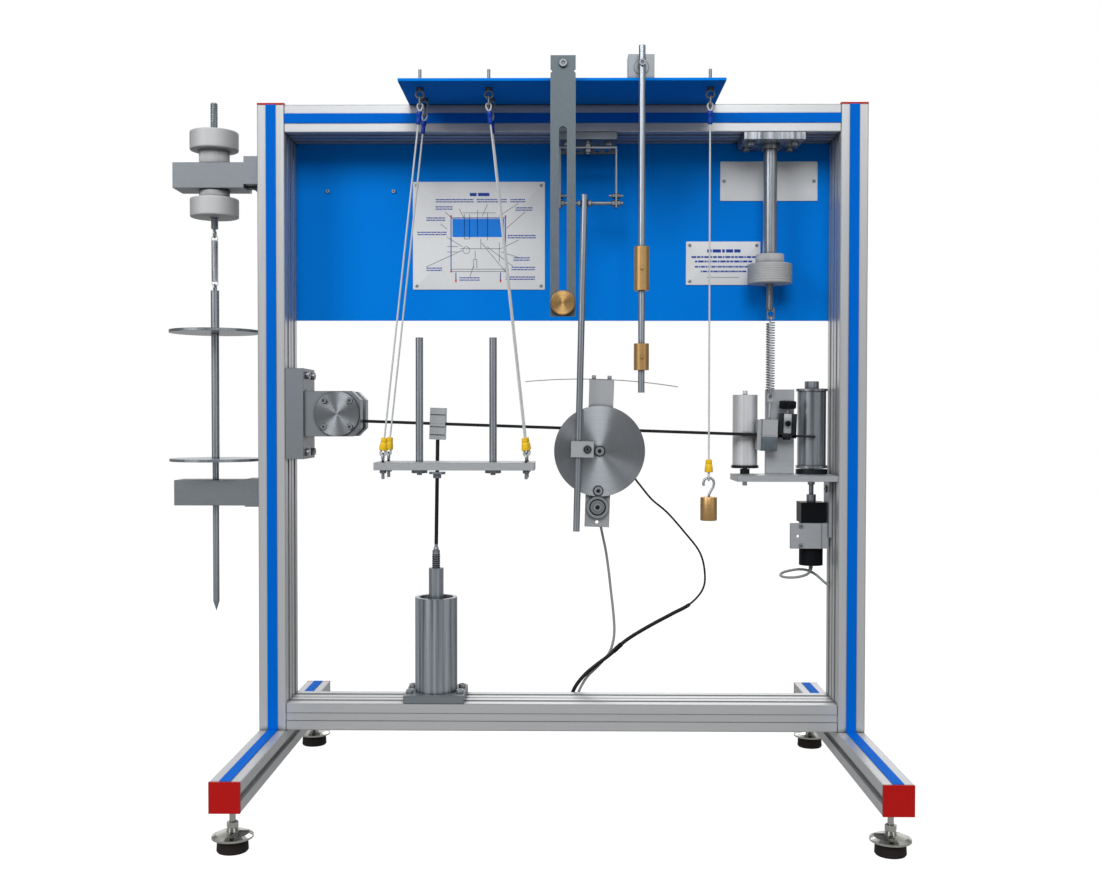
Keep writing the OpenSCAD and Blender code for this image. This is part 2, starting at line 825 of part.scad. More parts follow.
// Bearing block on the canopy with a pivot pin and its head in front of the swinging piece
module bearing_block(w, h, pin, reach) {
  block_d = 32;
  translate([-w / 2, bearing_front, canopy_top])
    cube([w, block_d, h]);
  along_y([0, swing_y - reach - seat, swing_z])
    cylinder(h = bearing_front - swing_y + reach + seat + 1, d = pin);
  along_y([0, swing_y - reach - seat - 4, swing_z])
    difference() {
      cylinder(h = 4.01, d = 2 * pin);
      translate([0, 0, -cut])
        cylinder(h = 2.5, d = pin, $fn = 6);
    }
  along_y([0, bearing_front - 1.5, swing_z])
    difference() {
      cylinder(h = 1.51, d = 4.4 * pin);
      translate([0, 0, -cut])
        cylinder(h = 1, d = 3.4 * pin);
    }
  along_y([0, swing_y + reach + seat, swing_z])
    cylinder(h = bearing_front - swing_y - reach - seat + 1, d = 2 * pin);
}

module bearing_blocks() {
  color(aluminium) placed() {
    translate([bar_x, 0, 0])
      bearing_block(bar_block_w, bar_block_h, pin_d, bar_t / 2);
    translate([rod_x, 0, 0])
      bearing_block(rod_block_w, rod_block_h, rod_pin_d, rod_d / 2);
  }
}

// Oblong link in the YZ plane between two arc centres
module link(l) {
  rotate([0, 0, 90]) {
    for (side = [-1, 1])
      translate([side * link_d / 2, 0, -l])
        cylinder(h = l, d = link_wire);
    rotate([90, 0, 0])
      ring(link_d, link_wire, 180);
    translate([0, 0, -l])
      rotate([90, 180, 0])
        ring(link_d, link_wire, 180);
  }
}

module canopy_hooks() {
  stud_over = 24;
  color(bright) placed()
    for (h = hook_places) {
      translate([h.x, h.y, eye_z])
        rotate([0, 0, 90])
          eye();
      translate([h.x, h.y, eye_z + eye_d / 2])
        cylinder(h = canopy_top + stud_over - eye_z - eye_d / 2, d = eye_stud_d);
      translate([h.x, h.y, frame_top - 3.5])
        hex_nut(10, 3.5);
      translate([h.x, h.y, canopy_top])
        hex_nut(10, 5);
      translate([h.x, h.y, link_top_z])
        link(link_len);
    }
}

hanger_bolts = [for (side = [-1, 1]) [hanger_x + side * hanger_w * 0.36, -cell / 2]];

module hanger_bracket() {
  plate_d = 60;
  leg_low = axle_z - 8;
  color(steel) placed() {
    difference() {
      translate([hanger_x - hanger_w / 2, front, hanger_plate_z])
        cube([hanger_w, plate_d, plate_t]);
      for (b = hanger_bolts)
        translate([b.x, b.y, hanger_plate_z - cut])
          cylinder(h = plate_t + 2 * cut, d = bolt_d + 2 * bolt_clear);
    }
    translate([hanger_x - hanger_w / 2, hang_y - strap_w / 2, strap_z - strap_t])
      cube([hanger_w, strap_w, strap_t]);
    for (side = [-1, 1])
      translate([hanger_x + side * (hanger_w - strap_t) / 2, hang_y, (strap_z + leg_low) / 2])
        cube([strap_t, strap_w, strap_z - leg_low], center = true);
    translate([hanger_x, hang_y, strap_z - strap_t - 8])
      cylinder(h = hanger_plate_z - strap_z + strap_t + 8.5, d = 7);
    translate([hanger_x, hang_y, strap_z - strap_t - 5])
      hex_nut(12, 5.01);
    translate([hanger_x, hang_y, strap_z - 0.01])
      hex_nut(12, 5);
    along_x([hanger_x - hanger_w / 2 - 10, hang_y, axle_z])
      cylinder(h = hanger_w + 20, d = axle_d);
    for (side = [-1, 1], at = [-5, strap_t])
      along_x([hanger_x + side * (hanger_w / 2 - strap_t / 2 + at + 1) - 2.5, hang_y, axle_z])
        hex_nut(10, 5);
    for (side = [-1, 1])
      along_x([hang_x + side * (hang_rod_d / 2 + 3.5) - 2.5, hang_y, axle_z])
        hex_nut(10, 5);
    for (side = [-1, 1])
      translate([hanger_x + side * (hanger_w - strap_t) / 2, hang_y, axle_z + 12]) {
        along_x([-12, 0, 0])
          cylinder(h = 24, d = 4);
        for (at = [-5.5, 1])
          along_x([at, 0, 0])
            hex_nut(8, 4.5);
      }
    difference() {
      translate([hanger_x - hanger_w / 2, front + plate_d - strap_t, hanger_plate_z - strap_t * 4])
        cube([hanger_w, strap_t, strap_t * 4 + 0.01]);
      for (x = [-17, 16, 31])
        along_y([hanger_x + x, front + plate_d - 2 * strap_t, hanger_plate_z - strap_t * 2.3])
          cylinder(h = 3 * strap_t, d = 5);
    }
  }
}

support_bolts = [for (x = [-1, 1], y = [-1, 1])
  [support_x + x * support_plate_l * 0.36, y * cell / 2]];

module spring_support() {
  color(steel) placed()
    difference() {
      union() {
        translate([support_x - support_plate_l / 2, front, top_rail_z - plate_t])
          cube([support_plate_l, 2 * half_d, plate_t]);
        translate([support_x, 0, tube_bottom])
          cylinder(h = support_tube_l + 1, d = support_tube_d);
        translate([support_x, 0, top_rail_z - plate_t - 8])
          cylinder(h = 8.5, d = support_tube_d + 8);
      }
      translate([support_x, 0, tube_bottom - cut])
        cylinder(h = support_tube_l, d = stud_d + 2 * run);
      for (b = support_bolts)
        translate([b.x, b.y, top_rail_z - plate_t - cut])
          cylinder(h = plate_t + 2 * cut, d = bolt_d + 2 * bolt_clear);
    }
}

trunnion_bolts = [for (y = [-1, 1], z = [-1, 1]) [y * cell / 2, pivot_z + z * trunnion_bolt_z]];
cheek_out = cheek_gap / 2 + cheek_t;

module trunnion_bracket() {
  bevel = 14;
  reach = pivot_out - trunnion_t;
  color(steel) placed()
    difference() {
      union() {
        translate([-inner_x, front, pivot_z - trunnion_h / 2])
          cube([trunnion_t, 2 * half_d, trunnion_h]);
        for (side = [-1, 1])
          translate([pivot_x, side * (cheek_gap + cheek_t) / 2 + cheek_t / 2, pivot_z])
            rotate([90, 0, 0])
              linear_extrude(cheek_t)
                polygon([[-reach - 1, -cheek_h / 2], [cheek_reach - bevel, -cheek_h / 2],
                  [cheek_reach, -cheek_h / 2 + bevel], [cheek_reach, cheek_h / 2 - bevel],
                  [cheek_reach - bevel, cheek_h / 2], [-reach - 1, cheek_h / 2]]);
      }
      along_y([pivot_x, -cheek_out - cut, pivot_z])
        cylinder(h = 2 * cheek_out + 2 * cut, d = shaft_d + 4);
      for (side = [-1, 1])
        along_y([pivot_x, side * (cheek_out - bearing_w / 2 + cut / 2) - (bearing_w + cut) / 2, pivot_z])
          cylinder(h = bearing_w + cut, d = bearing_d);
      for (b = trunnion_bolts)
        along_x([-inner_x - cut, b.x, b.y])
          cylinder(h = trunnion_t + 2 * cut, d = bolt_d + 2 * bolt_clear);
      for (x = [-1, 1], z = [-1, 1], side = [-1, 1])
        along_y([pivot_x + x * cover_bolt, side * cheek_out - 12, pivot_z + z * cover_bolt])
          cylinder(h = 24, d = cover_screw_d + 2 * bolt_clear);
    }
}

module trunnion_covers() {
  color(steel) placed()
    for (side = [-1, 1])
      difference() {
        along_y([pivot_x, side * (cheek_out + cover_t / 2) - cover_t / 2, pivot_z])
          cylinder(h = cover_t, d = cover_d);
        for (x = [-1, 1], z = [-1, 1])
          along_y([pivot_x + x * cover_bolt, side * cheek_out - 12, pivot_z + z * cover_bolt])
            cylinder(h = 24, d = cover_screw_d + 2 * bolt_clear);
      }
}

module trunnion_bearings() {
  color(bright) placed()
    for (side = [-1, 1])
      along_y([pivot_x, side * (cheek_out - bearing_w / 2) - bearing_w / 2, pivot_z])
        difference() {
          cylinder(h = bearing_w, d = bearing_d);
          translate([0, 0, -cut])
            cylinder(h = bearing_w + 2 * cut, d = shaft_d + 2 * run);
        }
}

// Shaft with the hub that holds the beam, in the beam's frame
module pivot_shaft() {
  shaft_l = 2 * cheek_out - 2;
  color(dark_steel) placed()
    beam_space()
      difference() {
        union() {
          along_y([0, -shaft_l / 2, 0])
            cylinder(h = shaft_l, d = shaft_d);
          along_y([0, -hub_w / 2, 0])
            cylinder(h = hub_w, d = hub_d);
        }
        translate([-hub_d, -beam_w / 2, -bar_drop - beam_t / 2])
          cube([2 * hub_d, beam_w, beam_t]);
      }
}

module beam() {
  color(dark_steel) placed()
    beam_space() {
      translate([-hub_d / 2, -beam_w / 2, -bar_drop - beam_t / 2])
        cube([hub_d / 2 + tail_from, beam_w, beam_t]);
      along_x([tail_from - 1, 0, -bar_drop])
        cylinder(h = beam_l - tail_from + 1, d = tail_d);
    }
}

// Two halves clamped above and below the beam bar, with the bar's own space cut out
module beam_clamp(at) {
  depth = beam_w + 8;
  translate([at, 0, -bar_drop])
    difference() {
      translate([-block_w / 2, -depth / 2, -block_h / 2])
        cube([block_w, depth, block_h]);
      translate([-block_w, -beam_w / 2, -beam_t / 2])
        cube([2 * block_w, beam_w, beam_t]);
      translate([-block_w, -depth, -clamp_seam])
        cube([2 * block_w, 2 * depth, 2 * clamp_seam]);
    }
}

clamp_low = pivot_z - dashpot_at * sin(beam_tilt) - (bar_drop + block_h / 2) * cos(beam_tilt);
clamp_low_x = pivot_x + dashpot_at * cos(beam_tilt) - (bar_drop + block_h / 2) * sin(beam_tilt);
push_lean = atan((clamp_low_x - dashpot_x) / (clamp_low - ball_z));

module dashpot_clamp() {
  color(aluminium) placed()
    difference() {
      beam_space()
        beam_clamp(dashpot_at);
      translate([clamp_low_x, 0, clamp_low - cut])
        rotate([0, push_lean, 0])
          cylinder(h = push_deep + cut, d = push_rod_d + 2 * push_clear);
    }
}

module spring_block() {
  color(aluminium) placed() {
    beam_space()
      beam_clamp(spring_at);
    translate([support_x + (block_top + block_eye_up) * sin(beam_tilt), 0, block_eye_z])
      tang(10, block_hole, 6, 8);
    beam_space() {
      translate([spring_at, 0, block_top - 0.5])
        cylinder(h = block_eye_up - 6 + 0.5, d = eye_stud_d);
      difference() {
        translate([spring_at - block_w / 2 - 8, -beam_w / 2 - 2, -bar_drop - block_h / 2 + 1])
          cube([8.5, beam_w + 4, block_h - 2]);
        translate([spring_at - 2 * block_w, -beam_w / 2, -bar_drop - beam_t / 2])
          cube([4 * block_w, beam_w, beam_t]);
        translate([spring_at - 2 * block_w, -beam_w, -bar_drop - clamp_seam])
          cube([4 * block_w, 2 * beam_w, 2 * clamp_seam]);
      }
    }
  }
}

module pen_holder() {
  at = tail_from + 15;
  jaw_w = 30;
  jaw_d = 16;
  jaw_h = 33;
  pen_d = 9;
  pen_y = back_plate_y - 1;
  low = -bar_drop + tail_d / 2 + 2;
  color(dark_steel) placed()
    beam_space()
      translate([at, 0, 0]) {
        difference() {
          translate([-jaw_w / 2, -jaw_d / 2, -bar_drop - 5])
            cube([jaw_w, jaw_d, low + jaw_h + bar_drop + 5]);
          along_x([-jaw_w, 0, -bar_drop])
            cylinder(h = 2 * jaw_w, d = tail_d);
          for (side = [-1, 1])
            translate([-jaw_w / 4, side * (jaw_d - 2) - jaw_d / 2, low])
              cube([jaw_w / 2, jaw_d, 2 * jaw_h]);
          along_y([0, -jaw_d, low + jaw_h / 2])
            cylinder(h = 2 * jaw_d, d = pen_d + 2 * run);
        }
        translate([0, 0, low + jaw_h - 0.5])
          cylinder(h = 9, d = 5);
        translate([0, 0, low + jaw_h + 8])
          cylinder(h = 14, d = 2 * (back_plate_y - 1));
        translate([0, 0, -bar_drop - 11])
          hex_nut(11, 6.5);
        along_y([0, -pen_y, low + jaw_h / 2])
          cylinder(h = pen_y + pen_y * 0.55, d = pen_d);
        along_y([0, pen_y * 0.54, low + jaw_h / 2])
          cylinder(h = pen_y * 0.44, d1 = pen_d, d2 = 1);
      }
}

// Bracket plate that hangs across the beam, in the beam's frame
module exciter_bracket() {
  color(steel) placed()
    beam_space()
      translate([exciter_at, 0, 0])
        difference() {
          union() {
            translate([-bracket_w / 2, bracket_y, -bracket_down])
              cube([bracket_w, bracket_t, bracket_up + bracket_down]);
            for (above = [0, 1])
              translate([-bracket_w / 2, -beam_w / 2 - 0.5,
                  -bar_drop - beam_t / 2 - 10 + above * (beam_t + 10)])
                cube([bracket_w, beam_w + 0.5, 10]);
            translate([-bracket_w / 2, -leaf_w / 2, bracket_up - 6])
              cube([bracket_w, leaf_w, 6]);
            for (side = [-1, 1])
              translate([side * leaf_bolt_x, 0, bracket_up - 1]) {
                cylinder(h = leaf_t + 2 * leaf_lift + 2, d = leaf_bolt_d);
                translate([0, 0, leaf_t + leaf_lift + 1])
                  cylinder(h = 6, d = 7);
              }
            along_y([0, disc_y - seat - 3, disc_z])
              cylinder(h = 3, d = hub_screw_d);
            along_y([0, disc_y - seat - 0.5, disc_z])
              cylinder(h = bracket_y - disc_y + seat + 1, d = exciter_shaft_d);
          }
          along_y([0, disc_y - seat - 3 - cut, disc_z])
            cylinder(h = 2 + cut, d = 7, $fn = 6);
          along_y([0, bracket_y - cut, wheel_z])
            cylinder(h = bracket_t + 2 * cut, d = 12);
          along_y([pickup_x, bracket_y - cut, pickup_z])
            cylinder(h = bracket_t + 2 * cut, d = pickup_d);
          along_y([0, bracket_y - cut, -bracket_down + 8])
            cylinder(h = bracket_t + 2 * cut, d = 6);
        }
}

// Thin strip bent to a wide arc, its crown on top of the bracket
module absorber_strip() {
  half = strip_l / leaf_r * 90 / PI;
  color(bright) placed()
    beam_space()
      difference() {
        translate([exciter_at, 0, bracket_up + leaf_lift - leaf_r])
          rotate([90, -90 - half, 0])
            mirror([0, 1, 0])
              rotate_extrude(angle = 2 * half, $fn = 360)
                translate([leaf_r, -leaf_w / 2])
                  square([leaf_t, leaf_w]);
        for (side = [-1, 1])
          translate([exciter_at + side * leaf_bolt_x, 0, bracket_up - 5])
            cylinder(h = 12, d = leaf_bolt_d + 2 * bolt_clear);
      }
}

module exciter_motor() {
  motor_l = 44;
  color(black) placed()
    beam_space()
      translate([exciter_at, 0, 0]) {
        along_y([0, bracket_y + bracket_t, wheel_z])
          cylinder(h = motor_l, d = motor_d);
        along_y([0, bracket_y + bracket_t + motor_l - 0.5, wheel_z])
          cylinder(h = 6, d = motor_d - 8);
        along_y([pickup_x, bracket_y + run, pickup_z])
          cylinder(h = 38, d = pickup_d - 2 * run);
      }
}

module exciter_disc() {
  weight_d2 = 14;
  color(steel) placed()
    beam_space()
      translate([exciter_at, 0, 0]) {
        difference() {
          along_y([0, disc_y, disc_z])
            cylinder(h = disc_t, d = disc_d);
          along_y([0, disc_y - cut, disc_z])
            cylinder(h = disc_t + 2 * cut, d = exciter_shaft_d + 2 * run);
        }
        along_y([0, disc_y - 6, disc_z - weight_bolt_r])
          difference() {
            cylinder(h = 6.5, d = weight_d2);
            translate([0, 0, -cut])
              cylinder(h = 3 + cut, d = 7, $fn = 6);
          }
      }
}

// Friction wheel on the motor's shaft, rim to rim with the disc
module motor_wheel() {
  color(bright) placed()
    beam_space()
      translate([exciter_at, 0, 0]) {
        along_y([0, disc_y, wheel_z])
          difference() {
            cylinder(h = disc_t, d = wheel_d);
            translate([0, 0, -cut])
              difference() {
                cylinder(h = 4 + cut, d = wheel_d - 8);
                cylinder(h = 4 + cut, d = 14);
              }
          }
        along_y([0, disc_y + disc_t - 0.5, wheel_z])
          cylinder(h = bracket_y + bracket_t - disc_y - disc_t, d = 6);
      }
}

dashpot_bolts = [for (x = [-1, 1], y = [-1, 1]) [dashpot_x + x * dashpot_base_l * 0.42, y * cell / 2]];

module dashpot_base() {
  color(steel) placed()
    difference() {
      translate([dashpot_x - dashpot_base_l / 2, -dashpot_base_w / 2, rail_top])
        cube([dashpot_base_l, dashpot_base_w, dashpot_base_t]);
      for (b = dashpot_bolts)
        translate([b.x, b.y, rail_top - cut])
          cylinder(h = dashpot_base_t + 2 * cut, d = bolt_d + 2 * bolt_clear);
    }
}

module dashpot_cylinder() {
  floor_t = 10;
  color(steel) placed()
    translate([dashpot_x, 0, dashpot_z])
      difference() {
        cylinder(h = dashpot_h, d = dashpot_d);
        translate([0, 0, floor_t])
          cylinder(h = dashpot_h, d = dashpot_d - 2 * dashpot_wall);
      }
}

module dashpot_piston() {
  piston_d = dashpot_d - 2 * dashpot_wall - 2;
  rod_run = (clamp_low - ball_z) / cos(push_lean);
  stop_up = 126;
  color(steel) placed()
    translate([dashpot_x, 0, 0]) {
      translate([0, 0, piston_z])
        cylinder(h = piston_t, d = piston_d);
      translate([0, 0, piston_z])
        cylinder(h = tube_top - piston_z, d = tube_d);
      translate([0, 0, tube_top - 1])
        cylinder(h = ball_z - tube_top - 4, d = tube_d / 2);
      translate([0, 0, ball_z - 9])
        hex_nut(11, 7);
      translate([0, 0, ball_z])
        sphere(d = 9);
      translate([0, 0, ball_z])
        rotate([0, push_lean, 0]) {
          cylinder(h = rod_run + push_deep / 2, d = push_rod_d);
          translate([0, 0, stop_up])
            cylinder(h = 4, d = 28);
          translate([0, 0, stop_up - 7])
            hex_nut(12, 7.01);
        }
    }
}

// Knurled nut with its collar towards +Z, bored for the threaded stud
module knurled_nut(d, h, collar, collar_h) {
  bevel = 2;
  rotate_extrude()
    polygon([[stud_d / 2 + run, 0], [d / 2 - bevel, 0], [d / 2, bevel], [d / 2, h - bevel], [d / 2 - bevel, h],
      [collar / 2, h], [collar / 2, h + collar_h], [stud_d / 2 + run, h + collar_h]]);
}

module support_nut() {
  low = tube_bottom - seat - support_collar_h - support_nut_h;
  color(aluminium) placed()
    translate([support_x, 0, low])
      knurled_nut(support_nut_d, support_nut_h, support_collar_d, support_collar_h);
}

module support_stud() {
  color(steel) placed()
    translate([support_x + (block_top + block_eye_up) * sin(beam_tilt), 0, 0]) {
      translate([0, 0, support_eye_z])
        tang(stud_d, tang_hole, tang_hole / 2 + 5, tang_hole / 2 + 3);
      translate([-(block_top + block_eye_up) * sin(beam_tilt), 0, support_eye_z + tang_hole / 2 + 1])
        cylinder(h = tube_bottom - support_eye_z + stud_over, d = stud_d);
    }
}

module beam_spring() {
  color(bright) placed()
    translate([support_x + (block_top + block_eye_up) * sin(beam_tilt), 0, beam_loop_low])
      rotate(90)
        extension_spring(beam_coil_d, beam_wire, beam_turns, beam_pitch, beam_bend);
}

// Arm with its block on the upright, bored for what passes through
module arm(z, bore, block_up) {
  difference() {
    translate([-half_w - arm_block - arm_l, -arm_d / 2, z])
      cube([arm_l, arm_d, arm_h]);
    translate([load_x, 0, z - cut])
      cylinder(h = arm_h + 2 * cut, d = bore);
  }
  translate([-half_w - arm_block + run, -arm_d / 2, z + block_up])
    cube([arm_block - run, arm_d, arm_h + 4]);
}

// Hollow-curved web under the upper arm's block
module gusset() {
  web_h = 26;
  translate([-half_w, gusset_w / 2, upper_arm_z + 6])
    rotate([90, 0, 0])
      linear_extrude(gusset_w)
        difference() {
          translate([-arm_block + run, -web_h])
            square([arm_block - run, web_h]);
          translate([-arm_block, -web_h])
            circle(r = arm_block - 3);
        }
}

module spring_arms() {
  color(steel) placed() {
    arm(upper_arm_z, stud_d + 2 * run, 6);
    arm(lower_arm_z, carrier_low_d + 2 * run, -2);
    gusset();
  }
}

module stud_nuts() {
  color(aluminium) placed()
    translate([load_x, 0, 0]) {
      translate([0, 0, upper_arm_z - seat - lower_collar - nut_h])
        knurled_nut(nut_d, nut_h, collar_d, lower_collar);
      translate([0, 0, upper_arm_z + arm_h + seat + upper_collar + nut_h])
        rotate([180, 0, 0])
          knurled_nut(nut_d, nut_h, collar_d, upper_collar);
    }
}

module load_stud() {
  color(steel) placed()
    translate([load_x, 0, 0]) {
      translate([0, 0, load_stud_low])
        cylinder(h = load_stud_top - load_stud_low, d = stud_d);
      translate([0, 0, load_eye_z])
        eye();
    }
}

module load_spring() {
  color(bright) placed()
    translate([load_x, 0, load_loop_low])
      extension_spring(load_coil_d, load_wire, load_turns, load_pitch, load_bend);
}

module load_carrier() {
  disc_seat = carrier_mid_d / 2 - 0.05;
  color(bright) placed()
    translate([load_x, 0, 0]) {
      translate([0, 0, carrier_eye_z])
        eye();
      rotate_extrude()
        polygon([[0, carrier_tip], [carrier_low_d / 2, carrier_tip + tip_l],
          [carrier_low_d / 2, carrier_seat], [carrier_mid_d / 2, carrier_seat],
          [carrier_mid_d / 2, carrier_seat + disc_gap], [carrier_d / 2, carrier_seat + disc_gap],
          [carrier_d / 2, carrier_top], [0, carrier_top]]);
      for (up = [0, disc_gap])
        translate([0, 0, carrier_seat + up - load_disc_t])
          difference() {
            cylinder(h = load_disc_t, d = load_disc_d);
            translate([0, 0, -cut])
              cylinder(h = load_disc_t + 2 * cut, d = up == 0 ? carrier_low_d : 2 * disc_seat);
          }
    }
}

module at_platform() {
  translate([platform_x, hook_y, platform_top])
    children();
}

module at_platform_eyes() {
  for (x = [-1, 1], y = [-1, 1])
    translate([x * eye_span / 2, y * hook_depth / 2, 0])
      children();
}

module platform_bar() {
  color(aluminium) placed()
    at_platform()
      difference() {
        translate([-platform_l / 2, -platform_w / 2, -platform_t])
          cube([platform_l, platform_w, platform_t]);
        at_platform_eyes()
          translate([0, 0, -platform_t - cut])
            cylinder(h = platform_t + 2 * cut, d = eye_stud_d);
        for (x = [-1, 1])
          translate([x * post_span / 2, 0, -platform_t - cut])
            cylinder(h = platform_t + 2 * cut, d = post_d - 4);
      }
}

module platform_posts() {
  color(bright) placed()
    at_platform() {
      for (x = [-1, 1])
        translate([x * post_span / 2, 0, 0]) {
          cylinder(h = post_h, d = post_d);
          translate([0, 0, -platform_t - post_nut - 3])
            cylinder(h = platform_t + post_nut + 3.5, d = post_d - 4);
          translate([0, 0, -platform_t - post_nut])
            hex_nut(22, post_nut);
        }
      at_platform_eyes() {
        translate([0, 0, eye_up])
          eye();
        translate([0, 0, -platform_t - 14])
          cylinder(h = platform_t + 14 + eye_up - eye_d / 2, d = eye_stud_d);
        translate([0, 0, -platform_t - 5])
          hex_nut(9, 5);
      }
    }
}

// Cord that hangs from the origin: end loops, sleeves and the straight cord
module hanging_cord(l, quarter = 0) {
  rotate([90, 0, 0])
    ring(loop_d, cord_d);
  translate([0, 0, -l])
    rotate([90, 0, quarter])
      ring(loop_d, cord_d);
  translate([0, 0, loop_d / 2 + sleeve_l / 2 - l])
    cylinder(h = l - loop_d - sleeve_l, d = cord_d);
  for (z = [-loop_d / 2 - sleeve_l - 0.5, loop_d / 2 + 0.5 - l])
    translate([0, 0, z])
      cylinder(h = sleeve_l, d = sleeve_d);
}

module platform_cord(x, y) {
  color("#e4e4e0") placed()
    translate([platform_x + x * hook_span / 2, hook_y + y * hook_depth / 2, line_top_z])
      rotate([0, -x * cord_lean, 0])
        hanging_cord(cord_l);
}

module cord_front_left() {
  platform_cord(-1, -1);
}

module cord_front_right() {
  platform_cord(1, -1);
}

module cord_rear_left() {
  platform_cord(-1, 1);
}

module cord_rear_right() {
  platform_cord(1, 1);
}

module pendulum_line() {
  color("#e4e4e0") placed()
    translate([line_x, line_y, line_top_z])
      hanging_cord(line_l, 90);
}

module pendulum_weight() {
  bevel = 1.5;
  color(brass) placed()
    translate([line_x, line_y, 0]) {
      translate([0, 0, weight_top - weight_h])
        rotate_extrude()
          polygon([[0, 0], [weight_d / 2 - bevel, 0], [weight_d / 2, bevel],
            [weight_d / 2, weight_h - bevel], [weight_d / 2 - bevel, weight_h], [0, weight_h]]);
      translate([0, 0, weight_hook_z])
        rotate([90, -90, 0])
          ring(2 * weight_hook_r, weight_hook_wire, 270);
      translate([0, 0, weight_top - 1])
        cylinder(h = weight_hook_z - weight_hook_r - weight_top + 1, d = weight_hook_wire);
    }
}

module pendulum_rod() {
  color(steel) placed()
    difference() {
      translate([rod_x, swing_y, rod_bottom])
        cylinder(h = rod_l, d = rod_d);
      along_y([rod_x, swing_y - rod_d, swing_z])
        cylinder(h = 2 * rod_d, d = rod_pin_d + 2 * run);
    }
}

// Brass mass with a set screw, free to slide on the rod pendulum
module rod_mass(z, l) {
  screw_d = 5;
  color(brass) placed()
    translate([rod_x, swing_y, z]) {
      difference() {
        cylinder(h = l, d = mass_d);
        translate([0, 0, -cut])
          cylinder(h = l + 2 * cut, d = rod_d + 2 * run);
      }
      along_y([0, -mass_d / 2 - 2, l / 2])
        cylinder(h = 4, d = screw_d);
    }
}

module rod_mass_upper() {
  rod_mass(upper_mass_z, upper_mass_l);
}

module rod_mass_lower() {
  rod_mass(lower_mass_z, lower_mass_l);
}

module slotted_bar() {
  notch = 5;
  slot_r = bar_slot_w / 2;
  color(steel) placed()
    translate([bar_x, swing_y + bar_t / 2, 0])
      rotate([90, 0, 0])
        linear_extrude(bar_t)
          difference() {
            translate([-bar_w / 2, bar_bottom])
              square([bar_w, bar_l]);
            translate([-slot_r, bar_slot_z + slot_r])
              square([bar_slot_w, bar_slot_l - bar_slot_w]);
            for (z = [slot_r, bar_slot_l - slot_r])
              translate([0, bar_slot_z + z])
                circle(r = slot_r);
            translate([0, swing_z])
              circle(d = pin_d + 2 * run);
            for (side = [-1, 1])
              translate([side * bar_w / 2, swing_z - 11])
                rotate(45)
                  square(notch, center = true);
          }
}

module bar_knob() {
  nut_t = 7;
  bevel = 1.2;
  color(brass) placed()
    translate([bar_x, swing_y, knob_z]) {
      along_y([0, -bar_t / 2 - seat - knob_t, 0])
        rotate_extrude()
          polygon([[0, 0], [knob_d / 2 - bevel, 0], [knob_d / 2, bevel], [knob_d / 2, knob_t - bevel],
            [knob_d / 2 - bevel, knob_t], [0, knob_t]]);
      along_y([0, -bar_t, 0])
        cylinder(h = 2 * bar_t, d = knob_bolt_d);
      along_y([0, bar_t / 2 + seat, 0])
        cylinder(h = nut_t, d = knob_d * 0.6);
    }
}

module lean_space() {
  translate([hang_x, hang_y, axle_z])
    rotate([0, hang_lean, 0])
      children();
}

module hanging_rod() {
  over = 14;
  color(steel) placed()
    difference() {
      lean_space()
        translate([0, 0, over - hang_rod_l])
          cylinder(h = hang_rod_l, d = hang_rod_d);
      along_x([hang_x - hang_rod_d, hang_y, axle_z])
        cylinder(h = 2 * hang_rod_d, d = axle_d + 2 * run);
    }
}

module rod_clamp() {
  screw_d = 12;
  color(aluminium) placed()
    lean_space()
      translate([0, 0, -clamp_below]) {
        difference() {
          translate([clamp_offset - clamp_w / 2, -clamp_d / 2, -clamp_h / 2])
            cube([clamp_w, clamp_d, clamp_h]);
          translate([0, 0, -clamp_h])
            cylinder(h = 2 * clamp_h, d = hang_rod_d + 2 * run);
        }
        along_y([clamp_offset + clamp_w * 0.22, -clamp_d / 2 - 3, 0])
          difference() {
            cylinder(h = 4, d = screw_d);
            translate([0, 0, -cut])
              cylinder(h = 2.5 + cut, d = 6, $fn = 6);
          }
      }
}

wall_front = 0;
wall_head = 3;
wall_bolts = [for (z = [shelf_z - shelf_t - 15, gearbox_z - 15]) [cell / 2, z]];
motor_plate_y = drum_y - gearbox_w / 2 - motor_plate_t;
motor_plate_screws = [[-22, 39], [-22, 6]];

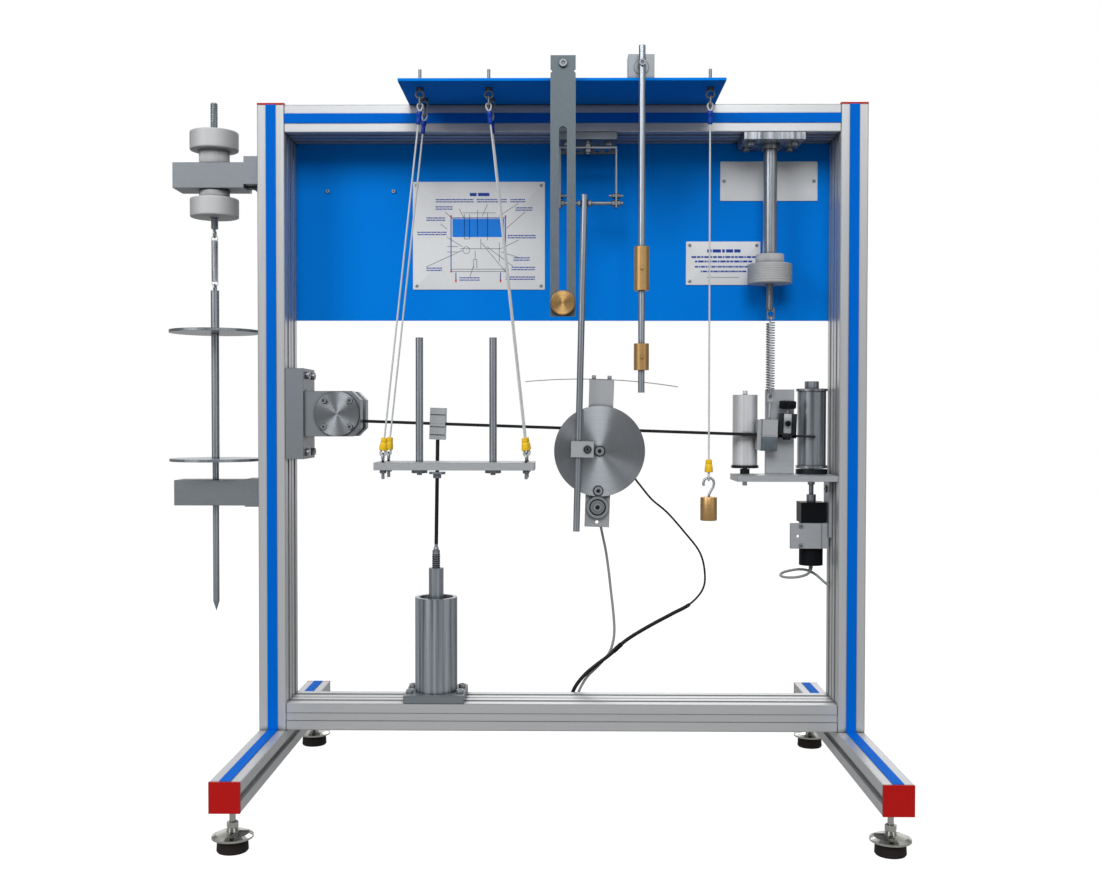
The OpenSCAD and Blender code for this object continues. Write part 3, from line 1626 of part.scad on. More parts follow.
module recorder_frame() {
  back_w = 48;
  back_h = 143;
  back_x = (paper_x + drive_x) / 2;
  color(aluminium) placed() {
    difference() {
      translate([shelf_x, -shelf_depth / 2, shelf_z - shelf_t])
        cube([shelf_l, shelf_depth, shelf_t]);
      for (x = [paper_x, drive_x])
        translate([x, drum_y, shelf_z - shelf_t - cut])
          cylinder(h = shelf_t + 2 * cut, d = spindle_d + 2 * run);
    }
    translate([back_x - back_w / 2, back_plate_y, shelf_z - 0.01])
      cube([back_w, back_plate_t, back_h]);
    difference() {
      translate([inner_x - wall_t, wall_front, shelf_z - shelf_t - wall_h])
        cube([wall_t, shelf_depth / 2 - wall_front, wall_h + 0.01]);
      for (b = wall_bolts)
        along_x([inner_x - wall_t - cut, b.x, b.y])
          cylinder(h = wall_t + 2 * cut, d = bolt_d + 2 * bolt_clear);
    }
    difference() {
      union() {
        translate([drive_x - motor_plate_out, motor_plate_y, gearbox_z - motor_plate_h - 1])
          cube([motor_plate_w, motor_plate_t, motor_plate_h]);
        translate([drive_x, motor_plate_y + motor_plate_t / 2, gearbox_z - motor_plate_h - 1])
          cube([inner_x - wall_t - drive_x + 0.5, motor_plate_t / 2, motor_plate_h]);
      }
      along_y([drive_x - 27, motor_plate_y - cut, gearbox_z - 23])
        cylinder(h = motor_plate_t + 2 * cut, d = 5);
      for (s = motor_plate_screws)
        along_y([drive_x + s.x, motor_plate_y - cut, gearbox_z - s.y])
          cylinder(h = motor_plate_t + 2 * cut, d = 4 + 2 * bolt_clear);
    }
  }
}

module recorder_motor() {
  color(black) placed()
    translate([drive_x, drum_y, 0]) {
      translate([-gearbox_w / 2, -gearbox_w / 2, gearbox_z - 0.5])
        cube([gearbox_w, gearbox_w, gearbox_h]);
      translate([-motor_body_d / 2, -gearbox_w / 2, gearbox_z - 42])
        cube([motor_body_d, gearbox_w / 2, 42]);
      translate([0, 0, motor_bottom])
        cylinder(h = gearbox_z - motor_bottom, d = motor_body_d);
    }
}

// Drum with flanges and a spindle that runs in the shelf
module drum(x, d, l, flange_d, nut_d, spindle_low) {
  translate([x, drum_y, 0]) {
    translate([0, 0, drum_z])
      cylinder(h = l, d = d);
    translate([0, 0, drum_z - flange_t])
      cylinder(h = flange_t + 0.5, d = flange_d);
    translate([0, 0, shelf_z + seat])
      cylinder(h = drum_nut - 2, d = nut_d);
    translate([0, 0, spindle_low])
      cylinder(h = drum_z - spindle_low, d = spindle_d);
    children();
  }
}

module paper_drum() {
  color(aluminium) placed()
    drum(paper_x, paper_d, drum_l, paper_d + 4, 2 * spindle_d, shelf_z - shelf_t - 10) {
      translate([0, 0, drum_z + drum_l - 1])
        cylinder(h = 8, d = spindle_d);
    }
}

module drive_drum() {
  coupling_d = 16;
  drive_l = drum_l + 7;
  shaft_low = gearbox_z + gearbox_h + seat;
  color(aluminium) placed()
    drum(drive_x, drive_d, drive_l, drive_d + 5, drive_d + 5, shaft_low) {
      translate([0, 0, drum_z + drive_l - 0.5])
        cylinder(h = flange_t, d = drive_d + 5);
      translate([0, 0, drum_z + drive_l + flange_t - 1])
        cylinder(h = 13, d = drum_knob_d);
      translate([0, 0, shaft_low])
        cylinder(h = 12, d = coupling_d);
      translate([0, 0, shelf_z - shelf_t - seat - 8])
        cylinder(h = 8, d = coupling_d - 4);
    }
}

module lead(route, d) {
  path = smooth(route);
  tube(path, [for (p = path) d / 2], 8);
}

module grey_lead() {
  color("#8d8f91") placed()
    lead(grey_route, grey_d);
}

// The pickup's lead is thin as far as its sleeve, then thicker
module black_lead() {
  path = smooth(black_route);
  color(black) placed()
    tube(path, [for (i = [0 : len(path) - 1]) (i < 2 * black_sleeve_from ? black_d : black_sleeve_d) / 2], 8);
}

module recorder_lead() {
  color("#8d8f91") placed()
    lead(recorder_route, recorder_d);
}

module socket_screws() {
  color(dark_steel) placed() {
    for (b = trunnion_bolts)
      along_x([-inner_x + trunnion_t, b.x, b.y])
        socket_screw(bolt_d, trunnion_t + slot_lip + 4, bolt_head, trunnion_t);
    for (b = support_bolts)
      translate([b.x, b.y, top_rail_z - plate_t])
        rotate([180, 0, 0])
          socket_screw(bolt_d, plate_t + slot_lip + 4, bolt_head, plate_t);
    for (b = hanger_bolts)
      translate([b.x, b.y, hanger_plate_z])
        rotate([180, 0, 0])
          socket_screw(bolt_d, plate_t + slot_lip + 4, bolt_head, plate_t);
    for (b = dashpot_bolts)
      translate([b.x, b.y, rail_top + dashpot_base_t])
        socket_screw(bolt_d, dashpot_base_t + slot_lip + 4, bolt_head, dashpot_base_t);
    for (b = canopy_bolts)
      translate([b.x, b.y, canopy_top])
        socket_screw(bolt_d, canopy_t + slot_lip + 4, bolt_head, canopy_t);
    for (b = wall_bolts)
      along_x([inner_x - wall_t, b.x, b.y])
        mirror([0, 0, 1])
          socket_screw(bolt_d, wall_t + slot_lip + 4, wall_head, wall_t);
    for (b = panel_bolts)
      along_y([b.x, half_d + panel_t, b.y])
        socket_screw(bolt_d, panel_t + slot_lip + 4, bolt_head, panel_t);
    for (b = panel_pins)
      along_y([b.x, half_d, frame_top - b.y])
        mirror([0, 0, 1])
          socket_screw(4, panel_t + 3, 3);
    for (x = [-1, 1], z = [-1, 1], side = [-1, 1])
      translate([pivot_x + x * cover_bolt, side * (cheek_out + cover_t), pivot_z + z * cover_bolt])
        rotate([-side * 90, 0, 0])
          socket_screw(cover_screw_d, cover_t + 8, 4);
    for (s = motor_plate_screws)
      along_y([drive_x + s.x, motor_plate_y, gearbox_z - s.y])
        mirror([0, 0, 1])
          socket_screw(4, motor_plate_t + 2, 3);
  }
}

uprights();
cross_rails();
foot_rails();
cover_strips();
end_caps();
levelling_feet();
foot_pads();
back_panel();
socket_screws();
canopy_plate();
bearing_blocks();
canopy_hooks();
hanger_bracket();
spring_support();
trunnion_bracket();
trunnion_covers();
trunnion_bearings();
dashpot_base();
dashpot_cylinder();
spring_arms();
recorder_frame();
recorder_motor();
recorder_lead();
black_lead();
grey_lead();
beam();
pivot_shaft();
dashpot_clamp();
spring_block();
pen_holder();
exciter_bracket();
absorber_strip();
exciter_motor();
exciter_disc();
motor_wheel();
dashpot_piston();
support_nut();
support_stud();
beam_spring();
stud_nuts();
load_stud();
load_spring();
load_carrier();
platform_bar();
platform_posts();
cord_front_left();
cord_front_right();
cord_rear_left();
cord_rear_right();
pendulum_line();
pendulum_weight();
pendulum_rod();
rod_mass_upper();
rod_mass_lower();
slotted_bar();
bar_knob();
hanging_rod();
rod_clamp();
paper_drum();
drive_drum();
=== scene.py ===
"""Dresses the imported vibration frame: finishes, cords, springs, threads and sign plates."""

import json

import bmesh
import bpy
import numpy as np
from bpy.props import FloatProperty, FloatVectorProperty, IntProperty, PointerProperty
from mathutils import Euler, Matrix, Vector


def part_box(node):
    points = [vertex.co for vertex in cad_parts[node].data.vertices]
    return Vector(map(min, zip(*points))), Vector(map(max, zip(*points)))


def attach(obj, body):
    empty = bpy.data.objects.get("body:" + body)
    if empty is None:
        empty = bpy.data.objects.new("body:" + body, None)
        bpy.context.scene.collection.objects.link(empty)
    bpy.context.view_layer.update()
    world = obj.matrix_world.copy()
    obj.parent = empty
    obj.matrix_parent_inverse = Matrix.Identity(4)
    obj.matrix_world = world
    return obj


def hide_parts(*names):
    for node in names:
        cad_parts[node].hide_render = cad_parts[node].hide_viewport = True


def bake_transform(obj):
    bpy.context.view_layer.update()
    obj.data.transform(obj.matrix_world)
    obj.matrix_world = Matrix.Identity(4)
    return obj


bl_info = {
    "name": "Vibration frame dressing",
    "version": (1, 0, 0),
    "blender": (4, 5, 0),
    "location": "View3D > Sidebar > Vibration",
    "description": "Adds cords, springs, threads, signs and finishes to the vibration frame",
    "category": "Object",
}

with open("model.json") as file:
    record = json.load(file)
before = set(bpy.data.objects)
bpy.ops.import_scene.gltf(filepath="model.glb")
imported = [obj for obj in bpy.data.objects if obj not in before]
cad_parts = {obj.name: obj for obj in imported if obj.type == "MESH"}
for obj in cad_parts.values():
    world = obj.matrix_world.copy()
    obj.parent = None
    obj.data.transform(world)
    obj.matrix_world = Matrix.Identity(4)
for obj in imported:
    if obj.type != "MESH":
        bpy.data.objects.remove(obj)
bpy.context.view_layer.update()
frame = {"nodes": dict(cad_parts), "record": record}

# The solids stand this far to the right of the portal's own middle, in mm
SHIFT_X = 75.25
# Pivot of the beam in mm, and the beam's fall to the right
PIVOT = (-370.0, 0.0, 637.0)
BEAM_TILT = np.radians(1.9)

# Routes of the three leads, in mm
GREY_ROUTE = [
    (60, 42, 482), (60, 48, 481.7), (60.6, 55, 478.7), (62.4, 60.8, 470.5), (65.5, 63.8, 455),
    (72, 64, 424), (77, 64, 400), (82, 64, 365), (86, 64, 330), (90, 64, 295), (92, 64, 265), (90, 63, 243),
    (82, 62, 221), (64, 62, 200), (46, 62, 182), (34.5, 62, 164), (28.5, 60.8, 149.5), (26.2, 55.5, 139),
    (26, 47, 133.8), (26, 41, 133), (26, 36, 133),
]
BLACK_ROUTE = [
    (76, 23.4, 572), (77, 36, 571), (86, 48, 565), (104, 52, 550), (120, 52, 534), (136, 52, 514),
    (156, 52, 490), (182, 52, 468), (212, 52, 434), (238, 52, 400), (247, 52, 366), (244, 52, 336),
    (222, 52, 310), (190, 53, 292), (150, 54, 270), (112, 55, 246), (84, 55, 221), (62, 56, 204),
    (42, 56.5, 187), (26.5, 57.5, 168), (18.6, 57.8, 151.5), (16.2, 54, 140.5), (16, 46.5, 135),
    (16, 41, 134), (16, 36, 134),
]
# Point of the black route where its loose sleeve starts
BLACK_SLEEVE_FROM = 12
RECORDER_ROUTE = [
    (425, 30, 380), (424.8, 29.8, 375.5), (423, 28, 370), (417.5, 23.5, 365.5), (408, 18, 363),
    (396, 14, 361.5), (384, 15.5, 361), (375.5, 23.5, 361.5), (374.5, 35, 363.5), (382, 44.5, 366.5),
    (395, 48.5, 369), (409, 47.5, 371), (423, 42.5, 369.5), (434.5, 35, 363.5), (443, 28, 356),
    (450, 24, 349.8), (457.5, 22.2, 346.3), (466, 22, 345),
]
# Steps of a smoothed route between two of its points
ROUTE_STEPS = 8

# Upright axes of the load's stud, the support's stud, the eye under it and the dashpot, in mm
LOAD_X = -583.0
SUPPORT_X = 347.605
EYE_X = 349.346
DASHPOT_X = -211.0
# Where the cord pendulum hangs, and where the disc and its drive wheel sit on the beam, in mm
PENDULUM_XY = (230.0, -145.0)
DISC_X = 435.0
DISC_Z = -47.0
WHEEL_Z = -140.7

# Points of a piece nearer than this are one point, in metres, and steeper edges than this stay sharp
MERGE = 2e-6
SHARP = np.radians(40)
# Middle span of a noise's values that carries all of a finish's change
NOISE_SPAN = (0.3, 0.7)
# Cosine between a face and its rounded edge, where the painted edge outline starts and where it is full
EDGE_SPAN = (0.995, 0.86)
# Open share of the sky over a point, from a full crevice to none, and the shade painted into the crevice
CREVICE_SPAN = (0.35, 0.86)
CREVICE_SHADE = -0.93


def linear(code):
    """An sRGB hex colour as linear RGBA, by the standard sRGB curve."""
    c = np.array([int(code[i:i + 2], 16) for i in (0, 2, 4)]) / 255
    return (*np.where(c <= 0.04045, c / 12.92, ((c + 0.055) / 1.055) ** 2.4).tolist(), 1.0)


def colour(name, description, code):
    """A colour property whose default is an sRGB hex value."""
    return FloatVectorProperty(
        name=name, description=description, default=linear(code), size=4, min=0, max=1, subtype="COLOR"
    )


def length(name, description, default_mm):
    """A length property in metres whose default is given in millimetres."""
    return FloatProperty(name=name, description=description, default=default_mm / 1000, min=0, unit="LENGTH")


class VibrationSizes(bpy.types.PropertyGroup):
    """Sizes of the pieces that are added to the solids."""

    cord_d: length("Cord", "Diameter of the suspension cords", 3)
    strand_lay: length("Strand lay", "Length of one turn of the cord's strands", 11)
    strands: IntProperty(name="Strands", description="Strands in a suspension cord", default=3, min=2)
    grey_lead_d: length("Grey lead", "Diameter of the two grey leads", 4.5)
    black_lead_d: length("Black lead", "Diameter of the pickup's black lead", 3.4)
    lead_sleeve_d: length("Lead sleeve", "Diameter of the sleeve on the lower black lead", 6.5)
    thread_pitch: length("Thread pitch", "Pitch of the two studs' threads", 3)
    thread_depth: length("Thread depth", "Depth of the studs' threads", 1.3)
    sign_t: length("Sign plate", "Thickness of the sign plates", 1.6)


class VibrationColours(bpy.types.PropertyGroup):
    """Colours that a user would change."""

    aluminium: colour("Profile", "Anodised aluminium of the slotted profile", "C1C3C5")
    paint: colour("Paint", "Powder coat of the panel and the canopy", "0079DC")
    strip: colour("Strip", "Cover strips in the front slots", "0062C6")
    cap: colour("Caps", "Moulded end caps", "AE0F0C")
    steel: colour("Steel", "Machined steel", "7F858A")
    brass: colour("Brass", "Turned brass masses", "B8935F")
    sign: colour("Signs", "Face of the sign plates", "DADCDE")
    print_blue: colour("Print", "Blue print on the signs", "123C9A")
    sleeve_low: colour("Lower sleeves", "Sleeves at the lower ends of the cords", "DFB41C")
    sleeve_high: colour("Upper sleeves", "Sleeves at the upper ends of the cords", "06379A")


def at(points):
    """Points in mm from the portal's middle as metres in the shared frame."""
    return (np.asarray(points, float) + (SHIFT_X, 0, 0)) / 1000


def on_beam(points):
    """Points in mm along, across and above the beam as mm from the portal's middle, by the beam's fall."""
    p = np.asarray(points, float)
    c, s = np.cos(BEAM_TILT), np.sin(BEAM_TILT)
    x, y, z = p[..., 0], p[..., 1], p[..., 2]
    return np.stack([PIVOT[0] + x * c + z * s, PIVOT[1] + y, PIVOT[2] - x * s + z * c], -1)


def smooth_route(route):
    """Catmull-Rom curve through the route's points, each stretch a cubic of its two ends and neighbours."""
    p = np.asarray(route, float)
    p = np.concatenate([p[:1], p, p[-1:]])
    t = (np.arange(ROUTE_STEPS) / ROUTE_STEPS)[None, :, None]
    a, b, c, d = (p[i:len(p) - 3 + i, None] for i in range(4))
    curve = 0.5 * (2 * b + (c - a) * t + (2 * a - 5 * b + 4 * c - d) * t**2 + (3 * b - a - 3 * c + d) * t**3)
    return np.concatenate([curve.reshape(-1, 3), p[-1:]])


def carried_sides(path):
    """Unit tangents of a path, and a side vector carried along it without twist."""
    t = np.gradient(path, axis=0)
    t /= np.linalg.norm(t, axis=1, keepdims=True)
    start = (0, 0, 1) if abs(t[0, 2]) < 0.8 else (1, 0, 0)
    side = np.cross(t[0], start)
    sides = []
    for tangent in t:
        side = side - (side @ tangent) * tangent
        side = side / np.linalg.norm(side)
        sides.append(side)
    return t, np.array(sides)


def run_along(path):
    """Length of a path from its start to each of its points."""
    return np.concatenate([[0], np.cumsum(np.linalg.norm(np.diff(path, axis=0), axis=1))])


def tube(path, radius, sides, twist=None):
    """S(u, v) = p(u) + r(u, v) (cos v N(u) + sin v B(u)), where N and B are carried along p without twist.

    twist, if given, is (strands, turn per mm): r then swells at each strand, and the strands wind along p."""
    path = np.asarray(path, float)
    t, n = carried_sides(path)
    b = np.cross(t, n)
    v = np.arange(sides) * 2 * np.pi / sides
    r = np.broadcast_to(np.asarray(radius, float).reshape(-1, 1), (len(path), sides))
    if twist:
        lobe = np.abs(np.cos(twist[0] / 2 * (v[None, :] - run_along(path)[:, None] * twist[1])))
        r = r * (0.8 + 0.2 * lobe)
    ring = np.cos(v)[None, :, None] * n[:, None] + np.sin(v)[None, :, None] * b[:, None]
    return path[:, None] + r[..., None] * ring


def turned(profile, centre, axis="Z", sides=48, flutes=0, depth=0.0):
    """S(u, v) = centre + r(u) (cos v, sin v) across Y or Z + h(u) along it, from a profile of (r, h) in mm.

    flutes cut the radius by depth (1 - cos(flutes v)) / 2."""
    p = np.asarray(profile, float)
    v = np.arange(sides) * 2 * np.pi / sides
    r = p[:, :1] * np.ones(sides)
    if flutes:
        r = r - np.minimum(depth, p[:, :1] * 0.2) * (1 - np.cos(flutes * v)) / 2
    h = p[:, 1:] * np.ones(sides)
    a, b = r * np.cos(v), r * np.sin(v)
    return np.stack((a, b, h) if axis == "Z" else (a, h, b), -1) + centre


def slab(centre, half, thick, corner=2.0, edge=0.4, axis="Y", steps=6):
    """A rounded plate: S(u, v) = centre + inset outline(v, u) across Y or Z + depth(u) along it.

    The outline is a rectangle with round corners, and the inset follows a quarter circle at both rims."""
    q = np.linspace(0, np.pi / 2, 4)
    rim = edge * (1 - np.sin(q))
    rise = edge * (1 - np.cos(q))
    inset = np.concatenate([[min(half)], rim, rim[::-1], [min(half)]])
    depth = np.concatenate([[0], rise, thick - rise[::-1], [thick]]) - thick / 2
    turn = np.concatenate([np.linspace(k, k + 1, steps) for k in range(4)]) * np.pi / 2
    sign_a = np.repeat([1, -1, -1, 1], steps)
    sign_b = np.repeat([1, 1, -1, -1], steps)
    r = np.maximum(corner - inset, 0)[:, None]
    flat_a = np.maximum(half[0] - inset, 0)[:, None] - r
    flat_b = np.maximum(half[1] - inset, 0)[:, None] - r
    a = sign_a * flat_a + r * np.cos(turn)
    b = sign_b * flat_b + r * np.sin(turn)
    d = depth[:, None] * np.ones(4 * steps)
    return np.stack((a, b, d) if axis == "Z" else (a, d, b), -1) + centre


def add_piece(name, grids, finish, body=None, stands_for=None, slot=None):
    """Joins closed grids, in mm, into one piece of a finish.

    Quads run between rows and columns, and a cap closes each open end row."""
    points, faces, first = [], [], 0
    for grid in grids:
        rows, columns = grid.shape[:2]
        r = np.arange(rows - 1)[:, None] * columns + first
        c = np.arange(columns)[None, :]
        n = (c + 1) % columns
        faces += np.stack([r + c, r + n, r + columns + n, r + columns + c], -1).reshape(-1, 4).tolist()
        first += rows * columns
        if not np.allclose(grid[0], grid[-1]):
            faces += [list(range(first - rows * columns, first - (rows - 1) * columns))[::-1]]
            faces += [list(range(first - columns, first))]
        points.append(grid.reshape(-1, 3))
    mesh = bpy.data.meshes.new(name)
    mesh.from_pydata(at(np.concatenate(points)).tolist(), [], faces)
    shape = bmesh.new()
    shape.from_mesh(mesh)
    bmesh.ops.remove_doubles(shape, verts=shape.verts, dist=MERGE)
    bmesh.ops.recalc_face_normals(shape, faces=shape.faces)
    shape.to_mesh(mesh)
    shape.free()
    mesh.shade_smooth()
    mesh.set_sharp_from_angle(angle=SHARP)
    mesh.materials.append(finishes()[finish])
    piece = bpy.data.objects.new(name, mesh)
    bpy.context.scene.collection.objects.link(piece)
    if body:
        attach(piece, body)
    slot = slot or PIECE_SLOT.get(finish)
    if stands_for:
        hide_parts(stands_for)
    return piece


def put(tree, kind, sockets=None, **settings):
    """Adds a node of that kind with its settings, and fills its inputs with values or links.

    An input goes by name or number: Map Range takes its span at 1 and 2 and gives it at 3 and 4, and a colour
    Mix runs from 6 to 7."""
    node = tree.nodes.new("ShaderNode" + kind)
    for name, value in settings.items():
        setattr(node, name, value)
    for name, value in (sockets or {}).items():
        if isinstance(value, bpy.types.NodeSocket):
            tree.links.new(value, node.inputs[name])
        else:
            node.inputs[name].default_value = value
    return node


def empty_material(name):
    """A material with only its output node."""
    material = bpy.data.materials.new(name)
    material.use_nodes = True
    tree = material.node_tree
    tree.nodes.clear()
    return material, tree, put(tree, "OutputMaterial")


def shaded(rgba, share):
    """A colour made lighter or darker by a share, kept inside 0 to 1."""
    return (*np.clip(np.array(rgba[:3]) * (1 + share), 0, 1).tolist(), 1.0)


def surface(name, rgba, metallic, roughness, grain_mm, shade, relief_mm, stretch=(1, 1, 1), rough_by=0.08,
            edge=None, crevice_mm=0.0, rings=None, **sockets):
    """A finish whose colour, gloss and relief follow one noise of a real grain size.

    stretch draws the noise out along an axis. rings is the middle of a face turned about Y: the noise then
    runs with the distance from it, and the highlight spreads outward. edge is (width in mm, shade) of a
    painted
    outline along sharp edges: painted shade where its shade is below 0, a painted highlight above 0. The
    crevice reach in mm is how far the painted shade in slots and corners spreads."""
    _, tree, output = empty_material(name)
    place = put(tree, "TexCoord").outputs["Object"]
    if rings is not None:
        middle = put(tree, "VectorMath", {0: place, 1: tuple(at(rings))}, operation="SUBTRACT").outputs[0]
        outward = put(tree, "VectorMath", {0: middle, 1: (1, 0, 1)}, operation="MULTIPLY").outputs[0]
        distance = put(tree, "VectorMath", {0: outward}, operation="LENGTH").outputs["Value"]
        noise = put(tree, "TexNoise", {"W": distance, "Scale": 1000 / grain_mm, "Detail": 3.0},
                    noise_dimensions="1D").outputs[0]
        world = put(tree, "VectorTransform", {0: outward}, vector_type="VECTOR", convert_from="OBJECT",
                    convert_to="WORLD").outputs[0]
        sockets["Tangent"] = put(tree, "VectorMath", {0: world}, operation="NORMALIZE").outputs[0]
    else:
        spread = put(tree, "Mapping", {"Vector": place, "Scale": tuple(1000 / grain_mm / s for s in stretch)})
        noise = put(tree, "TexNoise", {"Vector": spread.outputs[0], "Scale": 1.0, "Detail": 4.0}).outputs[0]
    tone = put(tree, "MapRange", {"Value": noise, 1: NOISE_SPAN[0], 2: NOISE_SPAN[1]}).outputs[0]
    base = put(tree, "Mix", {0: tone, 6: shaded(rgba, -shade), 7: shaded(rgba, shade)},
               data_type="RGBA").outputs[2]
    # A painted outline along sharp edges: painted shade for an edge shade below 0, a painted highlight above
    # 0
    if edge:
        round_normal = put(tree, "Bevel", {"Radius": edge[0] / 1000}, samples=8).outputs[0]
        true_normal = put(tree, "NewGeometry").outputs["True Normal"]
        along = put(tree, "VectorMath", {0: round_normal, 1: true_normal},
                    operation="DOT_PRODUCT").outputs["Value"]
        line = put(tree, "MapRange", {"Value": along, 1: EDGE_SPAN[0], 2: EDGE_SPAN[1]}).outputs[0]
        base = put(tree, "Mix", {0: line, 6: base, 7: shaded(rgba, edge[1])}, data_type="RGBA").outputs[2]
    # Painted shade in slots, corners and gaps: the colour darkens where ambient occlusion finds surfaces near
    if crevice_mm:
        clear = put(tree, "AmbientOcclusion", {"Distance": crevice_mm / 1000}, samples=6).outputs["AO"]
        clean = put(tree, "MapRange", {"Value": clear, 1: CREVICE_SPAN[0], 2: CREVICE_SPAN[1]}).outputs[0]
        base = put(tree, "Mix", {0: clean, 6: shaded(rgba, CREVICE_SHADE), 7: base},
                   data_type="RGBA").outputs[2]
    gloss = put(tree, "MapRange", {
        "Value": tone, 3: roughness - rough_by, 4: roughness + rough_by}).outputs[0]
    bump = put(tree, "Bump", {"Height": noise, "Strength": 1.0, "Distance": relief_mm / 1000}).outputs[0]
    shader = put(tree, "BsdfPrincipled", {
        "Base Color": base, "Metallic": metallic, "Roughness": gloss, "Normal": bump, **sockets})
    tree.links.new(shader.outputs[0], output.inputs["Surface"])


def finishes():
    """All finishes by name, made at the first call."""
    if "Anodised aluminium, upright" in bpy.data.materials:
        return bpy.data.materials
    c = bpy.context.scene.vibration_colours
    # Gloss of the surfaces that aren't metal, from soft to nearly none
    matt = {"Specular IOR Level": 0.22}
    dull = {"Specular IOR Level": 0.1}
    flat = {"Specular IOR Level": 0.02}
    # Width and darkening of the painted edge shade, and how far the draw marks, on rods and tubes also
    # painted reflection bands, and the mill marks run out
    dark = (1.5, -0.6)
    draw = (1, 1, 70)
    mill = (16, 1, 1)
    # Satin anodising over extrusion lines that run along each bar, with painted shade along the edges and in
    # the slots
    for bar, lines in (("upright", (1, 1, 180)), ("across", (180, 1, 1)), ("foot", (1, 180, 1))):
        surface(f"Anodised aluminium, {bar}", c.aluminium, 0.55, 0.36, 1.6, 0.03, 0.003, lines, 0.03,
                (2.5, -0.85), 11)
    # Baked powder coat: a low orange peel of about 3 mm under an even satin gloss, with a faint painted
    # highlight along the edges
    surface("Blue powder coat", c.paint, 0.0, 0.5, 3.2, 0.02, 0.02, edge=(1.0, 0.15), **flat)
    # Extruded strip with faint draw lines, as even as the paint
    surface("Blue strip PVC", c.strip, 0.0, 0.5, 1.2, 0.04, 0.006, **flat)
    # Moulded polyamide with a fine spark-eroded skin, and painted shade along its edges
    surface("Red moulded polyamide", c.cap, 0.0, 0.42, 0.9, 0.08, 0.02, edge=(1.2, -0.5), **matt)
    # Bright zinc plate: pale, slightly cloudy, glossy, with painted shade along its edges and in corners
    surface("Zinc plated steel", linear("A8ACB0"), 0.7, 0.3, 5.0, 0.06, 0.002, rough_by=0.02,
            edge=(1.0, -0.65), crevice_mm=7)
    # Pressed and chromed steel of the feet, with clear dark and bright reflections, and painted shade in
    # corners
    surface("Chromed pressed steel", linear("BCBCB6"), 1.0, 0.15, 6.0, 0.05, 0.002, rough_by=0.02,
            crevice_mm=7)
    # Drawn bright wire: fine drawing marks and a high gloss, with painted shade in corners
    surface("Bright drawn steel", linear("A6ABB0"), 0.8, 0.32, 0.7, 0.06, 0.002, rough_by=0.02, crevice_mm=5)
    # Milled and ground steel, mid grey with long tool marks, and painted shade along its edges and in corners
    surface("Ground steel", c.steel, 0.65, 0.44, 0.8, 0.05, 0.003, (14, 1, 1), 0.03, dark, 8)
    # Drawn steel rod and tube: draw marks along the length, coarser and stronger than real, so that the
    # stripes are also painted reflection bands; painted shade along their edges and in corners
    surface("Drawn steel rod", linear("9AA1A8"), 0.85, 0.3, 2.6, 0.28, 0.002, draw, 0.02, (1.2, -0.5), 6)
    surface("Drawn steel tube", linear("979DA3"), 0.7, 0.27, 6.0, 0.6, 0.002, draw, 0.02, (1.5, -0.5), 8)
    # Drawn aluminium tube of the paper drum, pale, with soft bands that are draw marks and painted
    # reflection, and painted shade along its edges and in corners
    surface("Drawn aluminium tube", linear("CCCED0"), 0.35, 0.42, 6.0, 0.14, 0.002, draw, 0.02, dark, 6)
    # Hot rolled flat bar, pickled and dull, with a mottled scale, a painted highlight along its edges and
    # painted shade in corners
    surface("Pickled flat steel", linear("59636A"), 0.5, 0.5, 2.4, 0.1, 0.006, (1, 1, 3), 0.04, (1.0, 0.5), 5)
    # Sawn and milled aluminium: pale, soft gloss, lines along the bar, and painted shade along its edges and
    # in corners
    surface("Milled aluminium", linear("ADB0B3"), 0.6, 0.44, 0.9, 0.04, 0.003, mill, 0.03, dark, 8)
    # Rolled plate of the recorder, duller than the milled blocks, with painted shade along its edges and in
    # corners
    surface("Rolled aluminium plate", linear("AAAEB2"), 0.6, 0.46, 1.1, 0.05, 0.003, mill, 0.03, dark, 4)
    # Glass bead blasted aluminium: fine even speckle and no direction, with painted shade along its edges and
    # in corners
    surface("Blasted aluminium", linear("BABCBE"), 0.3, 0.56, 0.9, 0.05, 0.01, rough_by=0.04,
            edge=(1.4, -0.35), crevice_mm=10)
    # Oiled black oxide on steel: near black, with a painted highlight along its edges
    surface("Black oxide steel", linear("2A2D30"), 0.6, 0.34, 0.8, 0.20, 0.004, rough_by=0.03,
            edge=(1.0, 0.9), **matt)
    # Turned brass, its tool marks round the axis and a slight tarnish, with painted shade along its edges and
    # in corners
    surface("Turned brass", c.brass, 0.75, 0.36, 1.1, 0.05, 0.003, (40, 40, 1), 0.03, (0.8, -0.3), 5)
    # Brass faced on a lathe: rings of tool marks round the knob's middle, with painted shade along its edges
    # and in corners
    low, high = (np.array(corner) * 1000 - (SHIFT_X, 0, 0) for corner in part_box("bar_knob"))
    surface("Face turned brass", c.brass, 0.9, 0.32, 2.0, 0.12, 0.002, rough_by=0.03, edge=(1.2, -0.5),
            crevice_mm=4, rings=(low + high) / 2, Anisotropic=0.8)
    # Moulded black shell, dull, with a painted highlight along its edges
    surface("Black motor shell", linear("0E1014"), 0.0, 0.42, 0.8, 0.20, 0.01, edge=(1.0, 1.2), **dull)
    # Grey and black flexible PVC with a soft gloss
    surface("Grey cable PVC", linear("8D8F91"), 0.0, 0.46, 1.4, 0.06, 0.01, **matt)
    surface("Black cable PVC", linear("101113"), 0.0, 0.42, 1.4, 0.18, 0.01, **matt)
    # Twisted white polyester, its fibres finer than the strands
    surface("White polyester cord", linear("BFC1C2"), 0.0, 0.7, 0.5, 0.07, 0.03, **matt)
    # Moulded nitrile rubber: dull, with a painted highlight along its edges
    surface("Black rubber pad", linear("1F1918"), 0.0, 0.66, 1.2, 0.18, 0.03, edge=(1.2, 0.8), **matt)
